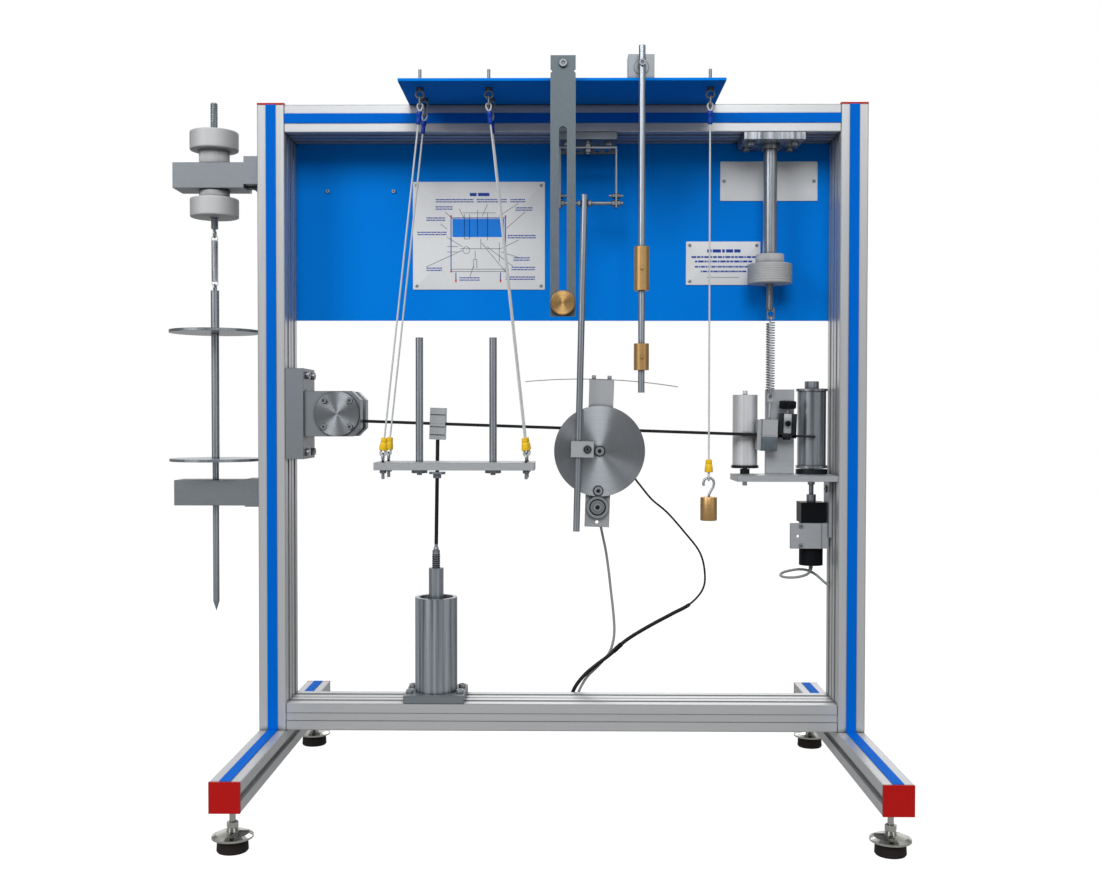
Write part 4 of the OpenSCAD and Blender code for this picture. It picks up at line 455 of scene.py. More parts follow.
    # Shrunk vinyl sleeves, smooth and bright
    surface("Yellow vinyl sleeve", c.sleeve_low, 0.0, 0.36, 1.5, 0.06, 0.02, **matt)
    surface("Blue vinyl sleeve", c.sleeve_high, 0.0, 0.36, 1.5, 0.10, 0.02, **matt)
    # Lacquered aluminium sign plate with a thin dark rim of painted shade, and its screen print
    surface("White sign lacquer", c.sign, 0.0, 0.36, 6.0, 0.012, 0.004, edge=(0.6, -0.3), **matt)
    for ink, rgba, shade in (
        ("Blue", c.print_blue, 0.08), ("Panel blue", c.paint, 0.05),
        ("Grey", linear("5A5E66"), 0.08), ("Red", linear("D21424"), 0.08),
    ):
        surface(ink + " screen print", rgba, 0.0, 0.4, 1.0, shade, 0.01, **matt)
    # Face turned steel: rings of tool marks, with the light fanning out from the middle, and painted shade
    # along the edges and in corners
    for piece, centre in (("disc", on_beam((DISC_X, -24.5, DISC_Z))), ("cover", PIVOT)):
        surface("Turned steel " + piece, linear("9CA1A6"), 1.0, 0.32, 2.0, 0.07, 0.001, rough_by=0.03,
                edge=(1.4, -0.65), crevice_mm=6, rings=centre, Anisotropic=0.9)
    return bpy.data.materials


# Finish of each slot of the record, and of the nodes that differ from their slot
SLOT_FINISH = {
    "anodised_profile": "Anodised aluminium, upright",
    "blue_paint": "Blue powder coat",
    "blue_strip": "Blue strip PVC",
    "red_cap": "Red moulded polyamide",
    "zinc_steel": "Zinc plated steel",
    "bright_steel": "Bright drawn steel",
    "pad_rubber": "Black rubber pad",
    "machined_steel": "Ground steel",
    "machined_aluminium": "Milled aluminium",
    "black_steel": "Black oxide steel",
    "brass": "Turned brass",
    "motor_black": "Black motor shell",
    "grey_cable": "Grey cable PVC",
    "black_cable": "Black cable PVC",
    "white_cord": "White polyester cord",
}
NODE_FINISH = {
    "cross_rails": "Anodised aluminium, across",
    "foot_rails": "Anodised aluminium, foot",
    "exciter_disc": "Turned steel disc",
    "trunnion_covers": "Turned steel cover",
    "slotted_bar": "Pickled flat steel",
    "pendulum_rod": "Drawn steel rod",
    "hanging_rod": "Drawn steel rod",
    "platform_posts": "Drawn steel rod",
    "dashpot_cylinder": "Drawn steel tube",
    "dashpot_piston": "Drawn steel rod",
    "spring_support": "Drawn steel tube",
    "socket_screws": "Zinc plated steel",
    "levelling_feet": "Chromed pressed steel",
    "canopy_hooks": "Ground steel",
    "bearing_blocks": "Ground steel",
    "load_carrier": "Drawn steel rod",
    "exciter_bracket": "Milled aluminium",
    "recorder_frame": "Rolled aluminium plate",
    "bar_knob": "Face turned brass",
    "paper_drum": "Drawn aluminium tube",
    "drive_drum": "Drawn steel tube",
}
# Slot of each finish for a new piece that names no other; add_piece looks it up but gives it to nothing
PIECE_SLOT = {finish: slot for slot, finish in SLOT_FINISH.items()} | {
    "Drawn steel rod": "machined_steel",
    "Pickled flat steel": "machined_steel",
    "Blasted aluminium": "machined_aluminium",
}


class VIBRATION_OT_stage(bpy.types.Operator):
    """Makes the camera, the pale floor, the white surround and the soft lamps."""

    bl_idname = "vibration.stage"
    bl_label = "Stage"

    aim_at = (0.0, 0.0, 0.62)

    def execute(self, context):
        scene = context.scene
        scene.view_settings.view_transform = "Standard"
        lens = bpy.data.cameras.new("camera")
        lens.lens = 39.9192
        lens.sensor_width = 36
        lens.clip_end = 100
        camera = bpy.data.objects.new("camera", lens)
        camera.location = (0.079588, -2.049179, 0.630419)
        camera.rotation_euler = Euler(np.radians((88.7785, -0.0688, 0.6646)).tolist())
        scene.collection.objects.link(camera)
        scene.camera = camera
        self.floor(scene)
        self.surround(scene)
        for name, place, size, watts in (
            ("key lamp", (0.15, -4.4, 3.6), 2.4, 138),
            ("side lamp", (-3.3, -3.3, 2.8), 1.6, 70),
            ("back lamp", (0.6, 4.6, 3.4), 2.4, 40),
        ):
            lamp = bpy.data.lights.new(name, "AREA")
            lamp.size = size
            lamp.energy = watts
            holder = bpy.data.objects.new(name, lamp)
            holder.location = place
            x, y, z = np.subtract(self.aim_at, place)
            holder.rotation_euler = (np.arctan2(np.hypot(x, y), -z), 0, np.arctan2(-x, y))
            holder.visible_camera = False
            scene.collection.objects.link(holder)
        return {"FINISHED"}

    def floor(self, scene):
        """A pale disc that meets the white surround, and keeps the shadow."""
        material, tree, output = empty_material("Pale studio floor")
        seen = put(tree, "LightPath").outputs
        shows = put(tree, "Math", {0: seen["Is Glossy Ray"], 1: 0.3, 2: seen["Is Camera Ray"]},
                    operation="MULTIPLY_ADD").outputs[0]
        matt = put(tree, "BsdfDiffuse", {"Color": linear("6E6E6E")}).outputs[0]
        white = put(tree, "Emission", {"Color": (1, 1, 1, 1), "Strength": 0.93}).outputs[0]
        both = put(tree, "AddShader", {0: matt, 1: white}).outputs[0]
        result = put(tree, "MixShader", {0: shows, 1: matt, 2: both}).outputs[0]
        tree.links.new(result, output.inputs["Surface"])
        sides = 96
        v = np.arange(sides) * 2 * np.pi / sides
        r = np.array([0.0, 1.0, 3.0, 9.0])[:, None]
        disc = np.stack([r * np.cos(v), r * np.sin(v), 0 * r * v], -1)
        mesh = bpy.data.meshes.new("floor")
        rows = np.arange(len(r) - 1)[:, None] * sides
        column = np.arange(sides)[None, :]
        after = (column + 1) % sides
        quads = np.stack([rows + column, rows + sides + column, rows + sides + after, rows + after], -1)
        mesh.from_pydata(disc.reshape(-1, 3).tolist(), [], quads.reshape(-1, 4).tolist())
        mesh.materials.append(material)
        floor = bpy.data.objects.new("floor", mesh)
        scene.collection.objects.link(floor)

    def surround(self, scene):
        """White to the camera, and behind the object in reflections too.

        As light it is bright overhead, with a tall bright field on each side of the camera."""
        world = bpy.data.worlds.new("white surround")
        world.use_nodes = True
        tree = world.node_tree
        tree.nodes.clear()
        way = put(tree, "TexCoord").outputs["Generated"]
        part = put(tree, "SeparateXYZ", {0: way}).outputs
        aside = put(tree, "Math", {0: part["X"]}, operation="ABSOLUTE").outputs[0]
        soft = {"interpolation_type": "SMOOTHSTEP"}
        level = None
        for value, span in (
            (aside, (0.36, 0.6, 0, 1)), (aside, (0.8, 0.97, 1, 0)), (part["Y"], (-0.1, 0.3, 1, 0)),
        ):
            edge = put(tree, "MapRange", {"Value": value, **dict(enumerate(span, 1))}, **soft).outputs[0]
            level = put(tree, "Math", {0: level, 1: edge}, operation="MULTIPLY").outputs[0] if level else edge
        over = put(tree, "MapRange", {"Value": part["Z"], **dict(enumerate((0.3, 0.85, 0.16, 0.7), 1))},
                   **soft).outputs[0]
        light = put(tree, "Math", {0: level, 1: 0.85, 2: over}, operation="MULTIPLY_ADD").outputs[0]
        seen = put(tree, "LightPath").outputs
        shows = put(tree, "Math", {0: seen["Is Camera Ray"], 1: seen["Is Transmission Ray"]},
                    operation="MAXIMUM").outputs[0]
        behind = put(tree, "MapRange", {"Value": part["Y"], 1: 0.7, 2: 0.9}, **soft).outputs[0]
        mirrored = put(tree, "Math", {0: seen["Is Glossy Ray"], 1: behind}, operation="MULTIPLY").outputs[0]
        white = put(tree, "Math", {0: shows, 1: mirrored}, operation="MAXIMUM").outputs[0]
        level = put(tree, "Mix", {0: white, 2: light, 3: 1.0}).outputs[0]
        glow = put(tree, "Background", {"Color": (1, 1, 1, 1), "Strength": level}).outputs[0]
        output = put(tree, "OutputWorld")
        tree.links.new(glow, output.inputs["Surface"])
        scene.world = world


class VIBRATION_OT_leads(bpy.types.Operator):
    """Makes the motor's, the pickup's and the recorder's leads, with their sleeve, tie and strain reliefs."""

    bl_idname = "vibration.leads"
    bl_label = "Leads"

    def execute(self, context):
        sizes = context.scene.vibration_sizes
        for node, route, d, finish in (
            ("grey_lead", GREY_ROUTE, sizes.grey_lead_d, "Grey cable PVC"),
            ("recorder_lead", RECORDER_ROUTE, sizes.grey_lead_d, "Grey cable PVC"),
            ("black_lead", BLACK_ROUTE, sizes.black_lead_d, "Black cable PVC"),
        ):
            path = smooth_route(route)
            piece = add_piece(node + "_cable", [tube(path, d * 500, 14)], finish, stands_for=node)
            with_pieces = [self.relief(node, path, d * 1000, finish)]
            if node == "black_lead":
                with_pieces += self.sleeve(path, sizes.lead_sleeve_d * 500)
            for part in [piece, *with_pieces]:
                if node == "recorder_lead":
                    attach(part, "frame")
                else:
                    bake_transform(part)
        return {"FINISHED"}

    def relief(self, node, path, d, finish):
        """A ribbed collar on the first stretch of a lead: r(s) is the lead's, a taper, and a square wave."""
        rib_pitch = 3
        s = np.linspace(0.2, 13, 27)
        run = run_along(path)
        line = np.stack([np.interp(s, run, path[:, i]) for i in range(3)], -1)
        r = d / 2 + 1.5 * (1 - s / 16) + 0.25 * np.sign(np.sin(s * 2 * np.pi / rib_pitch))
        return add_piece(node + "_relief", [tube(line, r, 16)], finish)

    def sleeve(self, path, radius):
        """The loose sleeve over the lower black lead, and the tie near its start."""
        start = BLACK_SLEEVE_FROM * ROUTE_STEPS
        line = path[start:]
        r = np.full(len(line), radius)
        r[0] -= 0.8
        loose = add_piece("black_lead_sleeve", [tube(line, r, 16)], "Black cable PVC")
        band = tube(line[26:31], radius + 0.9, 16)
        tie = add_piece("black_lead_tie", [band], "Black motor shell", slot="black_cable")
        return [loose, tie]


class VIBRATION_OT_cords(bpy.types.Operator):
    """Makes the four platform cords and the pendulum's line, twisted from strands, with loops and sleeves."""

    bl_idname = "vibration.cords"
    bl_label = "Suspension cords"

    top_z = 1112.6
    loop_d = 12.0
    sleeve_l = 20.0
    lean = np.radians(6.23)

    def execute(self, context):
        for name, x, y, way in (
            ("cord_front_left", -220.5, -145, -1), ("cord_front_right", -113.5, -145, 1),
            ("cord_rear_left", -220.5, -83, -1), ("cord_rear_right", -113.5, -83, 1),
        ):
            self.cord(context, name, name, "platform", (x, y), 539, way * self.lean, False)
        self.cord(context, "pendulum_line", "pendulum", "pendulum", PENDULUM_XY, 573, 0, True)
        return {"FINISHED"}

    def cord(self, context, node, body, held_by, place, run, lean, quarter):
        """One cord that hangs from its upper loop and leans outward.

        Its lower loop rides on what it holds, and quarter turns that loop by a right angle."""
        sizes = context.scene.vibration_sizes
        white = "White polyester cord"
        d = sizes.cord_d * 1000
        twist = (sizes.strands, 2 * np.pi / (sizes.strand_lay * 1000))

        def hang(points):
            """Points below the upper loop, leaned about it and carried to the hook."""
            p = np.asarray(points, float)
            x, z = p[..., 0], p[..., 2]
            turned_x = x * np.cos(lean) - z * np.sin(lean)
            turned_z = x * np.sin(lean) + z * np.cos(lean)
            return np.stack([turned_x + place[0], p[..., 1] + place[1], turned_z + self.top_z], -1)

        loop_r = self.loop_d / 2
        low = loop_r + self.sleeve_l / 2
        z = np.linspace(-low, low - run, 260)
        path = hang(np.stack([z * 0, z * 0, z], -1))
        rope = add_piece(node + "_rope", [tube(path, d / 2, 18, twist)], white, body, node)
        v = np.linspace(0, 2 * np.pi, 49)
        drop = np.stack([3.7 * np.sin(v) * (1 + 0.45 * np.cos(v)), v * 0, np.cos(v) * loop_r], -1)
        foot = drop * (1, 1, -1)
        foot = (foot[:, [1, 0, 2]] if quarter else foot) - (0, 0, run)
        for label, line, carrier in (("upper", drop, body), ("lower", foot, held_by)):
            loop = tube(hang(line), d / 2, 14)
            add_piece(f"{node}_{label}_loop", [loop], white, carrier)
        h = np.array([0, 0, 0.6, 4, 6, 7, 8, 12, 17, 19.4, 20, 20])
        r = np.array([0, 2.6, 3.1, 3.3, 3.5, 3.1, 3.6, 4.1, 4.4, 4.3, 3.8, 0])
        clear = 0.5 if quarter else -3.5
        for label, finish, top, wide in (
            ("upper", "Blue vinyl sleeve", -loop_r - 0.5, r[::-1]),
            ("lower", "Yellow vinyl sleeve", loop_r + clear + self.sleeve_l - run, r * 1.5),
        ):
            shape = hang(turned(np.stack([wide, top - h], -1), (0, 0, 0), sides=28))
            add_piece(f"{node}_{label}_sleeve", [shape], finish, body)
        line = at(path)


class VIBRATION_OT_springs(bpy.types.Operator):
    """Winds the beam's spring and the load's spring, each from one wire with a hook at both ends."""

    bl_idname = "vibration.springs"
    bl_label = "Springs"

    def execute(self, context):
        steel = "Bright drawn steel"
        path = self.wire(13.3, 2.2, 27, 4.2, 4.5)[:, [1, 0, 2]] * (-1, 1, 1) + (EYE_X, 0, 673.016)
        half = len(path) // 2
        for label, part, body, end in (
            ("lower", path[:half + 1], "beam", path[0]),
            ("upper", path[half:], "support_stud", path[-1]),
        ):
            piece = add_piece("beam_spring_" + label, [tube(part, 1.1, 10)], steel, stands_for="beam_spring")
            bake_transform(piece)
        path = self.wire(10.3, 1.2, 40, 1.72, 3.0) + (LOAD_X, 0, 856)
        piece = add_piece("load_spring_wire", [tube(path, 0.6, 8)], steel, stands_for="load_spring")
        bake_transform(piece)
        return {"FINISHED"}

    def wire(self, coil_d, wire, turns, pitch, rise):
        """The wire's line: a half hook in the XZ plane, a cubic bend, the helix, and the same mirrored.

        The helix is (r cos a, r sin a, rise + turns pitch u), where a grows evenly with u."""
        r = coil_d / 2
        per_turn = 22
        hook = np.radians(np.linspace(-185, -5, 25))
        low = np.stack([r * np.cos(hook), hook * 0, r * np.sin(hook)], -1)
        tail = low[:1] - (low[1:2] - low[:1]) / np.linalg.norm(low[1] - low[0]) * wire
        share = np.linspace(0, 1, per_turn * turns + 1)
        a = np.radians(30 + (360 * turns - 60) * share)
        coil = np.stack([r * np.cos(a), r * np.sin(a), rise + turns * pitch * share], -1)
        top = 2 * rise + turns * pitch
        handle = 0.6 * rise
        ahead = (coil[1] - coil[0]) / np.linalg.norm(coil[1] - coil[0]) * handle
        behind = (coil[-1] - coil[-2]) / np.linalg.norm(coil[-1] - coil[-2]) * handle
        up = np.array((0, 0, handle))
        high = np.stack([r * np.cos(hook[::-1]), hook * 0, top - r * np.sin(hook[::-1])], -1)
        tip = high[-1:] + (high[-1:] - high[-2:-1]) / np.linalg.norm(high[-1] - high[-2]) * wire
        t = np.linspace(0, 1, 10)[1:-1, None]
        s = 1 - t

        def bend(a, u, b, v):
            """Cubic from a to b that leaves along u and arrives along v."""
            return s**3 * a + 3 * s * s * t * (a + u) + 3 * s * t * t * (b - v) + t**3 * b

        return np.concatenate([
            tail, low, bend(np.array((r, 0, 0)), up, coil[0], ahead), coil,
            bend(coil[-1], behind, np.array((r, 0, top)), up), high, tip])


class VIBRATION_OT_studs(bpy.types.Operator):
    """Cuts real threads on the load's stud and the spring support's stud, each with its eye."""

    bl_idname = "vibration.studs"
    bl_label = "Threaded studs"

    def execute(self, context):
        sizes = context.scene.vibration_sizes
        cut = (sizes.thread_pitch * 1000, sizes.thread_depth * 1000)
        v = np.linspace(0, 2 * np.pi, 41)
        eye = tube(np.stack([v * 0 + LOAD_X, 6 * np.sin(v), 939 - 6 * np.cos(v)], -1), 1.75, 16)
        for node, x, low, high, end in (
            ("load_stud", LOAD_X, 946.5, 1157, eye),
            ("support_stud", SUPPORT_X, 810.77, 959, self.tang((EYE_X, 0, 804.766))),
        ):
            bolt = self.thread(x, low, high, *cut)
            add_piece(node + "_thread", [bolt, end], "Drawn steel rod", node, node)
        return {"FINISHED"}

    def tang(self, centre, half_w=6.5, above=10.0, below=8.0, half_t=3.0, bore=5.0):
        """A flat end with a hole: S(u, v) runs from the hole's rim out to a rectangle and back."""
        corners = [np.arctan2(z, x) for x in (half_w, -half_w) for z in (above, -below)]
        v = np.sort(np.concatenate([np.linspace(-np.pi, np.pi, 44, endpoint=False), corners]))
        c, s = np.cos(v), np.sin(v)
        far = 1 / np.maximum(np.abs(c) / half_w, np.maximum(s / above, -s / below))
        hole = np.full(len(v), bore)
        rows = [(hole, -half_t), (far, -half_t), (far, half_t), (hole, half_t), (hole, -half_t)]
        return np.stack([np.stack([r * c, y + 0 * v, r * s], -1) for r, y in rows]) + centre

    def thread(self, x, low, high, pitch, deep, d=13.0, sides=28, rows=6):
        """S(u, v) = (r cos v, r sin v, u), where r falls by the depth along a triangle wave.

        The wave runs with u / pitch - v / 2 pi, and fades out over the end chamfers."""
        u = np.linspace(low, high, int((high - low) / pitch * rows))[:, None]
        v = (np.arange(sides) * 2 * np.pi / sides)[None, :]
        wave = np.abs(2 * ((u / pitch - v / (2 * np.pi)) % 1) - 1)
        chamfer = np.clip(1.6 - np.minimum(u - low, high - u), 0, None)
        r = np.minimum(d / 2 - deep * (1 - wave), d / 2 - chamfer)
        return np.stack([x + r * np.cos(v), r * np.sin(v), u + 0 * v], -1)


class VIBRATION_OT_hand_nuts(bpy.types.Operator):
    """Makes the blasted hand nuts with their chamfers, grip grooves and collars."""

    bl_idname = "vibration.hand_nuts"
    bl_label = "Hand nuts"

    def execute(self, context):
        lower = self.nut(80, 31, 50, 14) + (0, 965.8)
        upper = self.nut(80, 31, 50, 24) * (1, -1) + (0, 1108.2)
        support = self.nut(74, 33, 47, 16, 0.45) + (0, 854.8)
        for node, x, profiles in (
            ("stud_nuts", LOAD_X, [lower, upper]), ("support_nut", SUPPORT_X, [support]),
        ):
            nuts = [turned(line, (x, 0, 0), sides=144, flutes=72, depth=0.5) for line in profiles]
            add_piece(node + "_turned", nuts, "Blasted aluminium", node, node)
        return {"FINISHED"}

    def nut(self, d, h, collar_d, collar_h, groove=0.0):
        """Profile of a nut and its collar: bore, rounded chamfers, and a closed ring back to the bore.

        A grooved grip falls by groove along a square wave of the height."""
        r, k, bore, groove_pitch = d / 2, collar_d / 2, 6.75, 3.6
        top = h + collar_h
        z = np.linspace(3, h - 3, 55)
        grip = np.stack([r - groove * (np.sin(z * 2 * np.pi / groove_pitch) > 0), z], -1)
        low = [(bore, 0.8), (bore + 0.8, 0), (r - 2, 0), (r - 0.6, 0.5), (r, 2)]
        high = [
            (r, h - 2), (r - 0.6, h - 0.5), (r - 2, h), (k + 0.8, h), (k, h + 0.8), (k, top - 0.8),
            (k - 0.8, top), (bore + 0.8, top), (bore, top - 0.8), (bore, 0.8),
        ]
        return np.concatenate([low, grip, high])


class VIBRATION_OT_pen_holder(bpy.types.Operator):
    """Makes the recorder pen's holder: dark jaws, a pale clamp between them, the pen and its knob."""

    bl_idname = "vibration.pen_holder"
    bl_label = "Pen holder"

    def execute(self, context):
        low = -7.0
        along_beam = 748

        def held(grid):
            """A grid about the holder's own place on the beam."""
            return on_beam(grid + (along_beam, 0, 0))

        jaws = [held(slab((side * 11.2, 0, low + 12.5), (3.8, 8), 41, 0.8, 0.5, "Z")) for side in (-1, 1)]
        bridge = held(slab((0, 0, low - 4.5), (15, 8), 5, 0.8, 0.5, "Z"))
        hexagon = [(0, -18), (5.4, -18), (6.2, -17.4), (6.2, -12.4), (5.4, -11.8), (0, -11.8)]
        nut = held(turned(hexagon, (0, 0, 0), sides=6))
        add_piece("pen_holder_jaws", [*jaws, bridge, nut], "Black oxide steel", "beam", "pen_holder")
        clamp = held(slab((0, 0, low + 16), (7.3, 6), 33, 1.2, 0.6, "Z"))
        pin = [(0, low + 31), (2.5, low + 31), (2.5, low + 42), (0, low + 42)]
        stem = held(turned(pin, (0, 0, 0), sides=20))
        add_piece("pen_holder_clamp", [clamp, stem], "Milled aluminium", "beam")
        pen = [(0, -14), (3.4, -14), (4.5, -13), (4.5, 7), (3.2, 9), (1.3, 12.6), (0.6, 13.9), (0, 13.9)]
        barrel = held(turned(pen, (0, 0, low + 16.5), "Y", 28))
        grip = [
            (0, 28), (11, 28), (13.6, 29.2), (14, 31), (14, 38.6), (13.4, 40.6), (11, 41.6), (6, 42), (0, 42),
        ]
        knob = held(turned(np.array(grip) + (0, low + 13), (0, 0, 0), sides=96, flutes=24, depth=1.0))
        for name, shape in (("pen_barrel", barrel), ("pen_holder_knob", knob)):
            add_piece(name, [shape], "Black motor shell", "beam", slot="black_steel")
        return {"FINISHED"}


class VIBRATION_OT_fittings(bpy.types.Operator):
    """Makes the weight and its hook, the drums' bases, the dashpot's dark pieces and the socket screws."""

    bl_idname = "vibration.fittings"
    bl_label = "Fittings"

    dark = "Black oxide steel"
    zinc = "Zinc plated steel"

    def execute(self, context):
        self.weight()
        self.drum_bases()
        self.dashpot()
        self.screws()
        plate = on_beam(slab((718, -12.5, -25.5), (12.8, 11.8), 1.4))
        add_piece("spring_block_plate", [plate], "Pickled flat steel", "beam")
        return {"FINISHED"}

    def dashpot(self):
        """The push rod's shell, the ribbed coupling under it and the seams between the clamp's plates."""
        lean = np.tan(np.radians(0.829915))
        rod = tube([(DASHPOT_X + (z - 410) * lean, 0, z) for z in (418, 480, 540, 593)], 3.2, 20)
        low, high, rib_pitch = 378.4, 400.6, 3.7
        z = np.linspace(low, high, 61)
        ribs = np.stack([6.6 + 0.4 * np.clip(3 * np.sin(z * 2 * np.pi / rib_pitch), -1, 1), z], -1)
        coupling = turned(np.concatenate([[(0, low)], ribs, [(0, high)]]), (DASHPOT_X, 0, 0), sides=40)
        seams = [on_beam(slab((163, -12.1, z), (13.05, 0.6), 0.6, 0.3, 0.1)) for z in (4, -16.2, -29.5)]
        for name, grids, body in (
            ("push_rod_shell", [rod], "dashpot_piston"),
            ("dashpot_coupling_ribs", [coupling], "dashpot_piston"),
            ("dashpot_clamp_seams", seams, "beam"),
        ):
            add_piece(name, grids, self.dark, body)

    def screws(self):
        """The socket screws of the disc, its weight, the drive wheel and the rod's clamp.

        The wheel's groove is a dark ring on its face: painted shade in the recess."""
        for name, body, centre, d, out, finish in (
            ("disc_screw", "beam", on_beam((DISC_X, -24.7, DISC_Z)), 15.3, 3.2, self.zinc),
            ("disc_weight_screw", "exciter_disc", on_beam((DISC_X, -24.5, -113)), 14.4, 6.2, self.zinc),
            ("drive_wheel_screw", "motor_wheel", on_beam((DISC_X, -24.5, WHEEL_Z)), 7, 1.6, self.dark),
            ("rod_clamp_screw", "rod_clamp", (42.69, -45.5, 578.77), 12.4, 3.3, self.dark),
        ):
            r = d / 2
            add_piece(name, [self.socket_head(centre, r, out)], finish, body)
            # Under each zinc head a thin dark ring, a painted shadow round the head, and a dark disc that
            # paints shade on the socket's floor
            if finish == self.zinc:
                washer = [(r - 1, 0.1), (r + 1.5, 0.1), (r + 1.5, -0.5), (r - 1, -0.5), (r - 1, 0.1)]
                socket = [(0, -0.3 * out), (0.5 * r, -0.3 * out), (0.5 * r, -0.55 * out), (0, -0.55 * out)]
                rings = [turned(profile, centre, "Y", 36) for profile in (washer, socket)]
                add_piece(name + "_washer", rings, self.dark, body)
        # A dark ring standing on the wheel's face: painted shade of its groove
        profile = [(11.8, -21), (13.9, -21), (13.9, -20.3), (11.8, -20.3), (11.8, -21)]
        groove = turned(profile, on_beam((DISC_X, 0, WHEEL_Z)), "Y")
        add_piece("drive_wheel_groove", [groove], self.dark, "motor_wheel")

    def socket_head(self, centre, r, out):
        """A socket screw's head that stands out to the front: rim, bevel, and the socket's wall and floor."""
        profile = [
            (0, 0.2), (r, 0.2), (r, 0.6 - out), (r - 0.6, -out), (0.56 * r, -out), (0.5 * r, -0.4 * out),
            (0, -0.4 * out),
        ]
        return turned(profile, centre, "Y", 36)

    def weight(self):
        """The turned weight, and its hook bent from one wire."""
        x, y = PENDULUM_XY
        profile = [
            (0, 470.7), (11.4, 470.7), (12.5, 471.1), (13, 472.2), (13, 506.2), (12.5, 507.3), (11.4, 507.7),
            (0, 507.7),
        ]
        body = turned(profile, (x, y, 0), sides=64)
        add_piece("pendulum_weight_body", [body], "Turned brass", "pendulum", "pendulum_weight")
        line = [
            (-7.6, 525), (-8.2, 529.5), (-5.9, 535.1), (0, 537.4), (5.9, 535.1), (8.1, 529.5), (6.6, 522.5),
            (3.0, 516.5), (0.5, 511), (0, 506.5), (0, 503),
        ]
        hook = tube(smooth_route([(x + aside, y, z) for aside, z in line]), 2.0, 14)
        add_piece("pendulum_weight_hook", [hook], "Bright drawn steel", "pendulum")

    def drum_bases(self):
        """The dark flange and nut under the paper drum, and the dark disc under the drive drum."""
        flange = [
            (0, 536.25), (8.1, 536.25), (8.1, 544.3), (4.2, 544.3), (4.2, 545.9), (23.1, 545.9),
            (23.1, 550.6), (0, 550.6),
        ]
        disc = [(0, 536.25), (26.6, 536.25), (26.6, 544.3), (0, 544.3)]
        for name, x, profile in (("paper_drum", 312, flange), ("drive_drum", 425, disc)):
            add_piece(name + "_base", [turned(profile, (x, 30, 0), sides=64)], self.dark, name)


